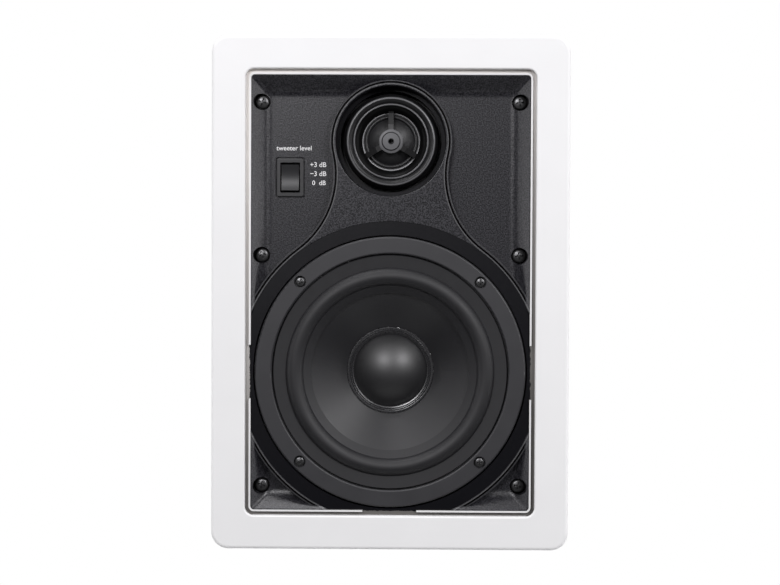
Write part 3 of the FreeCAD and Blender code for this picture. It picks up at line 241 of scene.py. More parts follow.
def ragged_flash(name, middle, along, out):
    """A ragged web; middle is on the baffle's edge, and along and out are its directions. In mm."""
    length, wall, tucked = 32.4, 0.15, 0.3
    mesh = bmesh.new()
    bmesh.ops.create_grid(mesh, x_segments=90, y_segments=2, size=0.5)
    for corner in mesh.verts:
        coarse = noise.noise((corner.co.x * 16, 0, sum(middle)))
        fine = noise.noise((corner.co.x * 60, 5, 0))
        reach = max(0.2, 0.75 + 0.6 * coarse + 0.5 * fine)
        corner.co = (corner.co.x * length, (corner.co.y + 0.5) * reach - tucked * (corner.co.y < 0), 0)
    bmesh.ops.solidify(mesh, geom=mesh.faces[:], thickness=wall)
    turn = Matrix((along, out, (0, -1, 0))).transposed().to_4x4()
    place = Matrix.Scale(0.001, 4) @ Matrix.Translation(middle) @ turn
    bmesh.ops.transform(mesh, matrix=place, verts=mesh.verts)
    bmesh.ops.recalc_face_normals(mesh, faces=mesh.faces)
    flash = made_object(mesh, name, smooth=False)
    flash.data.materials.append(baffle_black)
    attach(flash, "chassis")


flash_y, side_edge, bottom_edge = -2.1, 84.5, -131.9
ragged_flash("flash_left", (-side_edge, flash_y, 1000 * woofer_z), (0, 0, 1), (-1, 0, 0))
ragged_flash("flash_right", (side_edge, flash_y, 1000 * woofer_z), (0, 0, 1), (1, 0, 0))
ragged_flash("flash_bottom", (0, flash_y, bottom_edge), (1, 0, 0), (0, 0, -1))


# Tie screws. Zinc-plated pan heads, driven from behind through the baffle's ears into the frame.
def zinc_plate(place):
    bloom = cloud(place, 0.004, 4.0)
    return {"Base Color": tint(bloom, (0.42, 0.43, 0.44), (0.62, 0.62, 0.60)),
            "Roughness": 0.25 + 0.25 * bloom,
            "Normal": relief(cloud(place, 0.0006), 0.000008)}


screw_zinc = finish("screw_zinc", zinc_plate, Metallic=1.0)
dress(screw_zinc, "baffle_tie_screws", "crossover_screws", "swivel_retainer_screws")


# Woofer basket and gasket. The basket is pressed from steel sheet and powder coated black;
# a ring of closed-cell foam seals it to the baffle.
def powder_coat(place):
    peel = cloud(place, 0.0016, 2.0)
    mottle = cloud(place, 0.02)
    return {"Base Color": tint(mottle, (0.018, 0.018, 0.019), (0.027, 0.027, 0.028)),
            "Roughness": 0.38 + 0.14 * peel,
            "Normal": relief(peel, 0.00005)}


def closed_foam(place):
    cells = place.node("TexVoronoi", {}, {"Vector": place, "Scale": 1600.0})
    return {"Base Color": tint(cells, (0.012, 0.012, 0.013), (0.040, 0.040, 0.042)),
            "Roughness": 0.78 + 0.15 * cloud(place, 0.002),
            "Normal": relief(cells, 0.0002)}


dress(finish("basket_steel", powder_coat), "woofer_basket")
dress(finish("gasket_foam", closed_foam), "woofer_gasket")


# Woofer motor. A sintered ferrite ring clamped between a stamped top plate and a back plate with
# a vented pole, both passivated steel, glued together.
def passivated_steel(place):
    near = from_axis(place, woofer_z)
    turning = (near * 9000.0).math("SINE", near * 9000.0) * 0.5 + 0.5
    bloom = cloud(place, 0.012, 4.0)
    return {"Base Color": tint(bloom, (0.36, 0.35, 0.33), (0.56, 0.55, 0.50)),
            "Roughness": 0.28 + 0.20 * bloom,
            "Normal": relief(turning * 0.4 + cloud(place, 0.0008), 0.000012)}


def sintered_ferrite(place):
    pits = cloud(place, 0.0009, 5.0)
    patch = cloud(place, 0.009, 2.0)
    return {"Base Color": tint(patch, (0.026, 0.026, 0.028), (0.055, 0.054, 0.055)),
            "Roughness": 0.45 + 0.3 * pits,
            "Normal": relief(pits, 0.00012)}


plate_steel = finish("plate_steel", passivated_steel, Metallic=1.0)
ferrite = finish("ferrite", sintered_ferrite)
dress(plate_steel, "woofer_top_plate", "woofer_yoke")
dress(ferrite, "woofer_magnet")


# Voice coil. Enamelled copper wire wound on a rolled aluminium former, one layer on the next.
def enamelled_wire(place):
    depth = split(place)[1]
    turn = depth.math("FRACT", depth * 2500.0)
    crown = 1 - (turn - 0.5).math("ABSOLUTE", turn - 0.5) * 2
    patch = cloud(place, 0.006)
    return {"Base Color": tint(patch, (0.36, 0.11, 0.035), (0.52, 0.19, 0.06)),
            "Roughness": 0.24 + 0.14 * patch,
            "Normal": relief(crown ** 0.5, 0.0002)}


def rolled_foil(place):
    depth = split(place)[1]
    streak = place.node("TexNoise", {"noise_dimensions": "1D"}, {"W": depth * 9000.0})
    return {"Base Color": tint(streak, (0.55, 0.55, 0.55), (0.75, 0.75, 0.74)),
            "Roughness": 0.28 + 0.2 * streak,
            "Normal": relief(streak, 0.00001)}


winding_copper = finish("winding_copper", enamelled_wire, Metallic=0.85, Coat_Weight=0.6, Coat_Roughness=0.12)
former_foil = finish("former_foil", rolled_foil, Metallic=1.0)
dress(winding_copper, "woofer_coil_winding", "tweeter_coil_winding")
dress(former_foil, "woofer_coil_former", "tweeter_coil_former")


# Spider. Woven cotton dipped in phenolic resin and hot pressed into rings of waves; glued to the
# coil former inside and to the basket's shelf outside, it bends as the coil moves.
def run_to(mesh, end, r, y):
    """Draws a section line on from its end, straight to a radius and a depth in mm."""
    grown = bmesh.ops.extrude_vert_indiv(mesh, verts=[end])["verts"][0]
    grown.co = (r, y, 0)
    return grown


def run_through(mesh, start, *points):
    """Draws a section line from a starting point through the others, each a radius and a depth."""
    end = start if isinstance(start, bmesh.types.BMVert) else mesh.verts.new((*start, 0))
    for r, y in points:
        end = run_to(mesh, end, r, y)
    return end


def arc_to(mesh, end, r, y, rise, steps):
    """Draws a section line on in an arc that bulges towards the front by rise, in mm."""
    chord = Vector((r, y, 0)) - end.co
    half = chord.length / 2
    side = Vector((-chord.y, chord.x, 0)).normalized()
    side *= -math.copysign(1, side.y)
    radius = (half ** 2 + rise ** 2) / (2 * abs(rise))
    centre = end.co + chord / 2 + side * (rise - math.copysign(radius, rise))
    angle = 2 * math.asin(min(1, half / radius))
    turn = math.copysign(1, chord.x) * math.copysign(1, rise)
    swept = bmesh.ops.spin(mesh, geom=[end], cent=centre, axis=(0, 0, 1), angle=turn * angle, steps=steps)
    last = [v for v in swept["geom_last"] if isinstance(v, bmesh.types.BMVert)][0]
    last.co = (r, y, 0)
    return last


def turn_round(mesh, steps):
    """Spins a section in mm round the Y axis, all the way."""
    bmesh.ops.spin(mesh, geom=mesh.verts[:] + mesh.edges[:], cent=(0, 0, 0), axis=(0, 1, 0),
                   angle=2 * math.pi, steps=steps, use_merge=True)
    bmesh.ops.remove_doubles(mesh, verts=mesh.verts, dist=1e-4)
    bmesh.ops.recalc_face_normals(mesh, faces=mesh.faces)
    mesh.normal_update()


def turned_sheet(mesh, name, z, wall, steps=160):
    """Spins a section round a driver's axis, gives the sheet its wall and makes it an object."""
    turn_round(mesh, steps)
    if sum(face.normal.y * face.calc_area() for face in mesh.faces) > 0:
        bmesh.ops.reverse_faces(mesh, faces=mesh.faces)
    bmesh.ops.solidify(mesh, geom=mesh.faces[:], thickness=wall)
    bmesh.ops.scale(mesh, vec=(0.001,) * 3, verts=mesh.verts)
    bmesh.ops.translate(mesh, vec=(0, 0, z), verts=mesh.verts)
    return made_object(mesh, name)


def flex_between(piece):
    """Bakes a ring's placement into its mesh."""
    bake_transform(piece)


def pressed_cloth(place):
    weave = place.node("VectorMath", {"operation": "MULTIPLY"}, {0: place, 1: (2200.0, 0, 2200.0)})
    threads = place.node("TexChecker", {}, {"Vector": weave, "Scale": 1.0}, output="Fac")
    soft = 0.6 * threads + 0.4 * cloud(place, 0.0006)
    return {"Base Color": tint(0.5 * soft + 0.5 * cloud(place, 0.01), (0.30, 0.17, 0.06), (0.47, 0.30, 0.12)),
            "Roughness": 0.62 + 0.2 * soft,
            "Normal": relief(soft, 0.0001)}


spider_inner, spider_outer, spider_edge = 15.0, 39.5, 44.0
spider_y, spider_wave, spider_waves = 26.4, 1.5, 8
mesh = bmesh.new()
end = run_through(mesh, (13.0, spider_y), (spider_inner, spider_y))
pitch = (spider_outer - spider_inner) / spider_waves
for i in range(spider_waves):
    end = arc_to(mesh, end, spider_inner + (i + 1) * pitch, spider_y,
                 spider_wave * (1 if i % 2 == 0 else -1), 8)
run_to(mesh, end, spider_edge, spider_y)
spider = turned_sheet(mesh, "spider_cloth_disc", woofer_z, -0.6)
spider.data.materials.append(finish("spider_cloth", pressed_cloth, Sheen_Weight=0.3))
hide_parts("woofer_spider")
flex_between(spider)


# Cone and dust cap. Both are formed from black filled polypropylene sheet; the cap's skirt is
# glued to the cone, and the glue line shows a little round its edge.
def formed_sheet(place):
    near = from_axis(place, woofer_z)
    rings = place.node("TexNoise", {"noise_dimensions": "1D"}, {"W": near * 1500.0, "Detail": 2.0})
    fleck = cloud(place, 0.0008, 2.0)
    return {"Base Color": tint(fleck, (0.0115, 0.0113, 0.0130), (0.0165, 0.0163, 0.0183)),
            "Roughness": 0.33 + 0.10 * rings + 0.06 * fleck,
            "Normal": relief(rings * 0.5 + fleck * 0.5, 0.00003)}


def pressed_cap(place):
    fleck = cloud(place, 0.0007, 2.0)
    skirt = from_axis(place, woofer_z) > 0.0226
    # The skirt ring is coloured lighter than the dome, as painted light.
    return {"Base Color": tint(0.2 * fleck + 0.4 * skirt, (0.005, 0.0049, 0.0060), (0.036, 0.0357, 0.0385)),
            "Roughness": 0.42 + 0.08 * fleck - 0.18 * skirt,
            "Normal": relief(fleck, 0.00002)}


dress(finish("cone_poly", formed_sheet, Specular_IOR_Level=0.6), "woofer_cone")
mesh = bmesh.new()
end = run_through(mesh, (26.3, 16.95), (26.05, 16.55), (25.6, 16.5))
for crest_r, crest_y in ((24.9, 16.47), (23.9, 16.74)):
    end = run_through(mesh, end, (crest_r + 0.2, crest_y + 0.17), (crest_r, crest_y),
                      (crest_r - 0.2, crest_y + 0.27))
end = run_through(mesh, end, (23.2, 17.15), (22.8, 18.0), (22.3, 18.2))
arc_to(mesh, end, 0.0, 8.1, 2.65, 30)
cap = turned_sheet(mesh, "dust_cap", woofer_z, -0.5)
cap.data.materials.append(finish("cap_poly", pressed_cap, Specular_IOR_Level=1.0, IOR=1.52))
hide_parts("woofer_dust_cap")
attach(cap, "woofer_diaphragm")


# Squeezed glue; its light spots are dried residue and also painted glints.
def set_glue(place):
    lumps = cloud(place, 0.0012, 3.0)
    residue_and_glints = ramp(lumps, 0.54, 0.64)
    return {"Base Color": tint(residue_and_glints, (0.008, 0.008, 0.008), (0.18, 0.18, 0.18)),
            "Roughness": 0.05 + 0.14 * lumps,
            "Normal": relief(lumps, 0.00008)}


def round_bead(name, body, finish_of, r, y, thick, z, uneven=0.0):
    """A bead round a driver's axis, uneven along its length if it is squeezed glue. Sizes in mm."""
    mesh = bmesh.new()
    bmesh.ops.create_circle(mesh, radius=thick / 2, segments=8)
    bmesh.ops.translate(mesh, vec=(r, y, 0), verts=mesh.verts)
    turn_round(mesh, 360)
    for corner in mesh.verts:
        lumps = noise.noise(corner.co * 0.7) + 0.5 * noise.noise(corner.co * 2.1)
        corner.co += corner.normal * uneven * lumps
    bmesh.ops.scale(mesh, vec=(0.001,) * 3, verts=mesh.verts)
    bmesh.ops.translate(mesh, vec=(0, 0, z), verts=mesh.verts)
    bead = made_object(mesh, name)
    bead.data.materials.append(finish_of)
    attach(bead, body)
    return bead


glue_black = finish("glue_black", set_glue)
round_bead("cap_glue_outer", "woofer_diaphragm", glue_black, 26.35, 16.75, 0.6, woofer_z, 0.5)
round_bead("cap_glue_inner", "woofer_diaphragm", glue_black, 22.95, 17.6, 0.45, woofer_z, 0.2)


# Rubber surround. Butyl rubber moulded as a half roll; its lips are glued to the basket's rim and
# to the edge of the cone, so it flexes between them.
def butyl_rubber(place):
    bloom = cloud(place, 0.006, 3.0)
    fine = cloud(place, 0.0006, 2.0)
    return {"Base Color": tint(bloom, (0.0075, 0.0073, 0.0088), (0.0105, 0.0103, 0.0122)),
            "Roughness": 0.46 + 0.12 * bloom + 0.06 * fine,
            "Normal": relief(fine, 0.00003)}


# A rubber coloured lighter than the roll, as a painted highlight along the lip's edge.
def rubber_lip_highlight(place):
    bloom = cloud(place, 0.006, 3.0)
    return {"Base Color": tint(bloom, (0.030, 0.0295, 0.0345), (0.055, 0.0545, 0.0600)),
            "Roughness": 0.22 + 0.12 * bloom,
            "Normal": relief(cloud(place, 0.0006, 2.0), 0.00003)}


mesh = bmesh.new()
end = run_through(mesh, (70.8, -0.6), (70.5, -1.0), (62.9, -0.4))
end = arc_to(mesh, end, 53.4, -0.6, 4.0, 28)
run_to(mesh, end, 48.4, 2.45)
surround = turned_sheet(mesh, "rubber_half_roll", woofer_z, -0.75)
surround.data.materials.append(finish("surround_rubber", butyl_rubber))
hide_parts("woofer_surround")
flex_between(surround)
lip_highlight_rubber = finish("lip_highlight_rubber", rubber_lip_highlight)
lip_edge = round_bead("surround_lip_edge", "chassis", lip_highlight_rubber, 70.25, -1.0, 0.7, woofer_z)
round_bead("surround_glue", "chassis", glue_black, 70.95, -0.85, 0.55, woofer_z, 0.5)


# Trim ring. Soft black PVC, pressed over the basket's rim to hide it; its screws go through both.
def soft_trim(place):
    bloom = cloud(place, 0.015, 3.0)
    fine = cloud(place, 0.0007, 2.0)
    return {"Base Color": tint(bloom, (0.0235, 0.0232, 0.0260), (0.0285, 0.0282, 0.0312)),
            "Roughness": 0.40 + 0.08 * bloom + 0.06 * fine,
            "Normal": relief(fine, 0.00002)}


dress(finish("trim_black", soft_trim), "woofer_trim_ring")


# Black screws. Blackened steel pan heads with a cross recess: four short ones through the trim
# ring into the baffle's bosses, and six long machine screws that draw the wall clamps up.
def black_oxide(place):
    rub = cloud(place, 0.0012, 3.0)
    return {"Base Color": tint(rub, (0.075, 0.075, 0.077), (0.13, 0.13, 0.132)),
            "Roughness": 0.27 + 0.12 * rub,
            "Normal": relief(rub, 0.00001)}


def turned_head(top, seat, head_r, core_r, tip):
    """A screw's head and core along Y, from the crown to the tip, with its cross recess. In mm."""
    mesh = bmesh.new()
    high = seat - top
    end = arc_to(mesh, mesh.verts.new((0, top, 0)), 0.74 * head_r, top + 0.14 * high, 0.035 * high, 5)
    end = arc_to(mesh, end, head_r, top + 0.58 * high, 0.07 * head_r, 5)
    run_through(mesh, end, (head_r, seat), (core_r, seat), (core_r, tip - core_r),
                (0.4 * core_r, tip), (0, tip))
    turn_round(mesh, 40)
    reach, wide = 0.60 * head_r, 0.13 * head_r
    for side in (-1, 1):
        for way in ((1, 0, 0), (0, 0, 1)):
            for off in (reach, wide):
                crown = [f for f in mesh.faces if f.calc_center_median().y < top + 0.2 * high]
                parts = {part for f in crown for part in (*f.verts, *f.edges)}
                bmesh.ops.bisect_plane(mesh, geom=crown + list(parts), dist=1e-4,
                                       plane_co=Vector(way) * side * off, plane_no=way)
    slot = []
    for face in mesh.faces:
        middle = face.calc_center_median()
        near, far = sorted((abs(middle.x), abs(middle.z)))
        if middle.y < top + 0.2 * high and near < wide and far < reach:
            slot.append(face)
    sunk = bmesh.ops.extrude_face_region(mesh, geom=slot)["geom"]
    sunk = [part for part in sunk if isinstance(part, bmesh.types.BMVert)]
    bmesh.ops.translate(mesh, vec=(0, 0.5 * high, 0), verts=sunk)
    bmesh.ops.scale(mesh, vec=(0.7, 1, 0.7), verts=sunk)
    bmesh.ops.delete(mesh, geom=[face for face in slot if face.is_valid], context="FACES")
    return mesh


def wind_round(mesh, ring, pitch, turns, steps):
    """Winds a closed ring of corners into a helix round the Y axis and closes its ends."""
    sides = list({edge for corner in ring for edge in corner.link_edges})
    bmesh.ops.spin(mesh, geom=ring + sides, cent=(0, 0, 0), axis=(0, 1, 0), dvec=(0, pitch / steps, 0),
                   angle=2 * math.pi * turns, steps=round(turns * steps))
    bmesh.ops.holes_fill(mesh, edges=[edge for edge in mesh.edges if edge.is_boundary], sides=len(ring))
    bmesh.ops.recalc_face_normals(mesh, faces=mesh.faces)


def add_thread(mesh, core_r, crest_r, start, stop, pitch):
    """Winds a ridge round a screw's core, from one depth to another."""
    ring = [mesh.verts.new((r, start + y * pitch, 0))
            for r, y in ((core_r - 0.1, 0.08), (crest_r, 0.5), (core_r - 0.1, 0.92))]
    for i in range(3):
        mesh.edges.new((ring[i], ring[i - 1]))
    wind_round(mesh, ring, pitch, round((stop - start) / pitch), 14)


def screw_set(name, node, places, head, core_r, crest_r, tip, pitch):
    """Copies of one screw, each turned a little differently, as a driver leaves them."""
    top, seat, head_r = head
    every = bmesh.new()
    for i, (x, z) in enumerate(places):
        mesh = turned_head(top, seat, head_r, core_r, tip)
        add_thread(mesh, core_r, crest_r, seat + 0.5, tip - core_r, pitch)
        bmesh.ops.rotate(mesh, cent=(0, 0, 0), matrix=Matrix.Rotation(0.35 * math.sin(5 * i + 1), 3, "Y"),
                         verts=mesh.verts)
        bmesh.ops.translate(mesh, vec=(x, 0, z), verts=mesh.verts)
        bmesh.ops.scale(mesh, vec=(0.001,) * 3, verts=mesh.verts)
        single = bpy.data.meshes.new(name)
        mesh.to_mesh(single)
        mesh.free()
        every.from_mesh(single)
        bpy.data.meshes.remove(single)
    screws = made_object(every, name)
    screws.data.materials.append(screw_black)
    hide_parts(node)
    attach(screws, "chassis")


screw_black = finish("screw_black", black_oxide, Metallic=0.8)
ring = 77.35 * math.sqrt(0.5)
screw_set("trim_screws", "woofer_screws",
          [(x * ring, 1000 * woofer_z + z * ring) for z in (1, -1) for x in (-1, 1)],
          (-3.0, -1.0, 2.9), 1.1, 1.5, 11.6, 1.2)
screw_set("clamp_machine_screws", "clamp_screws",
          [(x * clamp_x, z) for z in clamp_rows for x in (-1, 1)],
          (3.2, 6.0, 4.0), 1.6, 2.0, 58.0, 0.8)


# Woofer terminal strip. Punched fibre sheet riveted to the shelf, with two brass solder tabs.
def fibre_sheet(place):
    strand = cloud(place.node("VectorMath", {"operation": "MULTIPLY"}, {0: place, 1: (1, 1, 6)}), 0.002, 3.0)
    return {"Base Color": tint(strand, (0.060, 0.024, 0.012), (0.110, 0.050, 0.024)),
            "Roughness": 0.55 + 0.2 * strand,
            "Normal": relief(strand, 0.00004)}


def stamped_brass(place):
    tarnish = cloud(place, 0.003, 4.0)
    return {"Base Color": tint(tarnish, (0.50, 0.36, 0.13), (0.74, 0.57, 0.25)),
            "Roughness": 0.22 + 0.25 * tarnish,
            "Normal": relief(cloud(place, 0.0005), 0.00001)}


tab_brass = finish("tab_brass", stamped_brass, Metallic=1.0)
dress(finish("fibre_strip", fibre_sheet), "woofer_terminal_strip")
dress(tab_brass, "woofer_terminal_tabs", "tweeter_terminals", "switch_blades")


# Tweeter. A small motor behind a coated cloth dome, in a ball of black ABS that turns in the
# baffle; the faceplate's short horn and three-spoke guard are one moulding.
def satin_black(place):
    mottle = cloud(place, 0.01)
    fine = cloud(place, 0.0006, 2.0)
    return {"Base Color": tint(mottle, (0.020, 0.020, 0.0215), (0.026, 0.026, 0.028)),
            "Roughness": 0.33 + 0.12 * fine,
            "Normal": relief(fine, 0.00002)}


def ball_black(place):
    near = from_axis(place, tweeter_z)
    front = split(place)[1] < 0.0060
    # The ring at the bead's edge is coloured light grey as a painted highlight; the rest of the front gets
    # painted shade.
    edge = (near > 0.0259) * (near < 0.0268) * front
    fine = cloud(place, 0.0006, 2.0)
    return {"Base Color": tint(edge, (0.016, 0.016, 0.0172), (0.13, 0.13, 0.135)),
            "Roughness": 0.30 + 0.12 * fine,
            "Normal": relief(fine, 0.00002),
            "Recess": (0.35 - 0.35 * edge) * front}


def coated_cloth(place):
    weave = place.node("VectorMath", {"operation": "MULTIPLY"}, {0: place, 1: (2600.0, 0, 2600.0)})
    threads = place.node("TexChecker", {}, {"Vector": weave, "Scale": 1.0}, output="Fac")
    soft = 0.5 * threads + 0.5 * cloud(place, 0.0005)
    return {"Base Color": tint(soft, (0.007, 0.007, 0.008), (0.013, 0.013, 0.014)),
            "Roughness": 0.36 + 0.12 * soft,
            "Normal": relief(soft, 0.00003)}


def horn_black(place):
    near = from_axis(place, tweeter_z)
    hub = near < 0.0075
    # The step rings and the horn get painted shade, and the thin rim ring is coloured light grey as a painted
    # highlight; the hub is lighter grey.
    step = (near > 0.0051) * (near < 0.0058) + (near < 0.0019)
    rim = (near > 0.0220) * (near < 0.0229)
    horn = (near > 0.0174) * (near < 0.0219)
    fine = cloud(place, 0.0006, 2.0)
    return {"Base Color": tint(hub + rim, (0.006, 0.006, 0.0065), (0.095, 0.095, 0.100)),
            "Roughness": 0.30 + 0.08 * hub + 0.10 * fine,
            "Normal": relief(fine, 0.00002),
            "Recess": 0.8 * horn + 0.75 * step}


# Light grey for thin rings, as painted highlights on the throat's lip and the dome's seam.
def painted_ring_highlight(place):
    rub = cloud(place, 0.0009, 3.0)
    return {"Base Color": tint(rub, (0.28, 0.28, 0.29), (0.52, 0.52, 0.53)),
            "Roughness": 0.16 + 0.12 * rub,
            "Normal": relief(rub, 0.00002)}


dress(finish("ball_black", ball_black), "tweeter_ball_shell")
dress(finish("face_black", horn_black), "tweeter_faceplate")
dome_cloth = finish("dome_cloth", coated_cloth)
ring_highlight = finish("painted_ring_highlight", painted_ring_highlight)
dress(dome_cloth, "tweeter_dome")
dress(plate_steel, "tweeter_top_plate", "tweeter_yoke")
dress(ferrite, "tweeter_magnet")
mesh = bmesh.new()
end = arc_to(mesh, mesh.verts.new((14.4, 11.2, 0)), 16.0, 11.2, 0.8, 14)
run_through(mesh, end, (17.2, 11.2), (19.3, 11.2))
dome_roll = turned_sheet(mesh, "dome_roll", tweeter_z, -0.4, 120)
dome_roll.data.materials.append(dome_cloth)
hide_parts("tweeter_surround")
flex_between(dome_roll)
# Two thin rings coloured light grey, as painted highlights.
for name, body, r, y, thick, slot in (("throat_lip", "tweeter", 17.35, 9.9, 0.7, "face_black"),
                                      ("dome_seam", "tweeter_diaphragm", 14.55, 10.75, 0.6, "dome_cloth")):
    round_bead(name, body, ring_highlight, r, y, thick, tweeter_z)


# Swivel. A black nylon bearing ring carries the ball, and a glass-filled black retainer with
# four ears holds it in the baffle's socket.
def black_nylon(place):
    haze = cloud(place, 0.004, 3.0)
    return {"Base Color": tint(haze, (0.004, 0.004, 0.004), (0.007, 0.007, 0.007)),
            "Roughness": 0.40 + 0.15 * haze,
            "Normal": relief(cloud(place, 0.0008), 0.00002)}


def glass_filled(place):
    strand = cloud(place, 0.0009, 4.0)
    return {"Base Color": tint(strand, (0.016, 0.016, 0.017), (0.032, 0.032, 0.033)),
            "Roughness": 0.48 + 0.2 * strand,
            "Normal": relief(strand, 0.00006)}


dress(finish("bearing_nylon", black_nylon), "swivel_bearing_ring")
dress(finish("retainer_black", glass_filled), "swivel_retainer")


# Level switch. A snap-in rocker in a black bezel; the marks beside it are pad printed in white.
def pad_print(place):
    wear = cloud(place, 0.0005, 3.0)
    return {"Base Color": tint(wear, (0.78, 0.78, 0.78), (0.88, 0.88, 0.88)),
            "Roughness": 0.5 + 0.2 * wear,
            "Normal": relief(wear, 0.00001)}


dress(finish("switch_black", satin_black), "switch_body")
dress(finish("rocker_black", satin_black), "switch_rocker")
ink = finish("printed_white", pad_print)


def printed_mark(name, words, left, y, foot, width, turn=0.0):
    """White words, flat on a face across Y, that start at left and foot and run on for width."""
    line = bpy.data.curves.new(name, "FONT")
    line.body = words
    line.offset = 0.007
    shape = bpy.data.objects.new(name, line)
    bpy.context.scene.collection.objects.link(shape)
    bpy.context.view_layer.update()
    data = bpy.data.meshes.new_from_object(shape)
    bpy.data.objects.remove(shape)
    low = min(corner.co.x for corner in data.vertices)
    high = max(corner.co.x for corner in data.vertices)
    size = width / (high - low)
    upright = Matrix.Rotation(turn, 4, "Z") @ Matrix.Rotation(math.pi / 2, 4, "X")
    data.transform(Matrix.Translation((left, y, foot)) @ upright @ Matrix.Scale(size, 4)
                   @ Matrix.Translation((-low, 0, 0)))
    mark = bpy.data.objects.new(name, data)
    bpy.context.scene.collection.objects.link(mark)
    data.materials.clear()
    data.materials.append(ink)
    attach(mark, "chassis")


for name, words, left, foot, width in (
        ("mark_heading", "tweeter level", -0.0699, 0.0866, 0.0215),
        ("mark_plus", "+3 dB", -0.0492, 0.0765, 0.0098),
        ("mark_minus", "−3 dB", -0.0492, 0.0710, 0.0098),
        ("mark_level", "0  dB", -0.0480, 0.0655, 0.0083)):
    printed_mark(name, words, left, 0.00397, foot, width)


# Wall clamps. Six black nylon dogs swing out behind the wall; each rides on a brass insert that
# climbs a long screw, and a push-on cap stops it at the end.
dress(finish("dog_black", glass_filled), *[f"clamp_dog_{i}" for i in range(1, 7)], "clamp_stop_caps")
dress(finish("insert_brass", stamped_brass, Metallic=1.0), *[f"clamp_insert_{i}" for i in range(1, 7)])


# Crossover. A small laminate board on posts behind the tweeter's side, with a wound choke, two
# capacitors and two cement resistors.
def green_laminate(place):
    glass = place.node("VectorMath", {"operation": "MULTIPLY"}, {0: place, 1: (900.0, 0, 900.0)})
    weave = place.node("TexChecker", {}, {"Vector": glass, "Scale": 1.0}, output="Fac")
    patch = cloud(place, 0.01)
    return {"Base Color": tint(0.3 * weave + 0.7 * patch, (0.010, 0.050, 0.022), (0.020, 0.085, 0.038)),
            "Roughness": 0.30 + 0.15 * patch,
            "Normal": relief(weave, 0.00001)}


def shrink_sleeve(place):
    patch = cloud(place, 0.008, 3.0)
    return {"Base Color": tint(patch, (0.020, 0.022, 0.050), (0.032, 0.034, 0.070)),
            "Roughness": 0.25 + 0.15 * patch,
            "Normal": relief(cloud(place, 0.0015), 0.00003)}


def film_wrap(place):
    patch = cloud(place, 0.008, 3.0)
    return {"Base Color": tint(patch, (0.48, 0.36, 0.08), (0.60, 0.46, 0.12)),
            "Roughness": 0.25 + 0.2 * patch,
            "Normal": relief(cloud(place, 0.002), 0.00003)}


def cast_cement(place):
    sand = cloud(place, 0.0006, 4.0)
    return {"Base Color": tint(sand, (0.52, 0.51, 0.47), (0.72, 0.71, 0.66)),
            "Roughness": 0.75 + 0.2 * sand,
            "Normal": relief(sand, 0.0001)}


def tinned_wire(place):
    dross = cloud(place, 0.0009, 4.0)
    return {"Base Color": tint(dross, (0.50, 0.50, 0.49), (0.72, 0.72, 0.70)),
            "Roughness": 0.24 + 0.22 * dross,
            "Normal": relief(dross, 0.00002)}


def stand_on_board(mesh, name, x, z, material, slot, *nodes):
    """Puts a piece that was made round the Y axis, in mm, at its place on the board."""
    bmesh.ops.translate(mesh, vec=(x, 0, z), verts=mesh.verts)
    bmesh.ops.scale(mesh, vec=(0.001,) * 3, verts=mesh.verts)
    piece = made_object(mesh, name)
    piece.data.materials.append(material)
    if nodes:
        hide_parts(*nodes)
    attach(piece, "chassis")
    return piece


def bent_lead(mesh, x, y, z, way, foot):
    """A wire that leaves a body sideways and bends down into the board. In mm."""
    bend = 0.9
    start = Matrix.Translation((x, y, z)) @ Matrix.Rotation(math.pi / 2, 4, "Y")
    ring = bmesh.ops.create_circle(mesh, radius=0.4, segments=8, matrix=start)["verts"]
    sides = list({edge for corner in ring for edge in corner.link_edges})
    swept = bmesh.ops.spin(mesh, geom=ring + sides, cent=(x, y - bend, z), axis=(0, 0, 1),
                           angle=-way * math.pi / 2, steps=6)["geom_last"]
    rim = [part for part in swept if isinstance(part, bmesh.types.BMEdge)]
    grown = bmesh.ops.extrude_edge_only(mesh, edges=rim)["geom"]
    grown = [part for part in grown if isinstance(part, bmesh.types.BMVert)]
    bmesh.ops.translate(mesh, vec=(0, foot - y + bend, 0), verts=grown)


board_y, can_z, choke_x, choke_z = 12.6, 72.0, 55.25, 91.5
dress(finish("board_laminate", green_laminate, Coat_Weight=0.3), "crossover_board")
dress(finish("bobbin_black", glass_filled), "crossover_choke_bobbin")
dress(finish("resistor_cement", cast_cement), "crossover_resistors")
solder_tin = finish("solder_tin", tinned_wire, Metallic=1.0)

mesh = bmesh.new()
run_through(mesh, (4.6, 13.9), (10.45, 13.9), (10.45, 24.3), (4.6, 24.3))
turn_round(mesh, 64)
wire, turns = 0.92, 11
ring = bmesh.ops.create_circle(mesh, radius=wire / 2, segments=8)["verts"]
bmesh.ops.translate(mesh, vec=(10.7, 14.3, 0), verts=ring)
wind_round(mesh, ring, wire, turns - 0.6, 60)
stand_on_board(mesh, "choke_wire", choke_x, choke_z, winding_copper, "winding_copper",
               "crossover_choke_winding")

for name, x, slot, wrap, node in (
        ("woofer_can", 48.95, "capacitor_sleeve", shrink_sleeve, "crossover_woofer_capacitor"),
        ("tweeter_can", 61.55, "capacitor_film", film_wrap, "crossover_tweeter_capacitor")):
    mesh = bmesh.new()
    run_through(mesh, (0, board_y), (5.7, board_y), (6.2, 13.0), (6.2, 14.2), (5.7, 14.9), (6.2, 15.6),
                (6.2, 33.8), (5.9, 34.35), (5.3, 34.55), (4.7, 34.5), (4.5, 34.1), (0, 34.0))
    turn_round(mesh, 64)
    can = stand_on_board(mesh, name, x, can_z, finish(slot, wrap), slot, node)
    can.data.materials.append(solder_tin)
    for face in can.data.polygons:
        inner = math.hypot(face.center.x - x / 1000, face.center.z - can_z / 1000)
        face.material_index = int(inner < 0.0046 and face.center.y > 0.030)

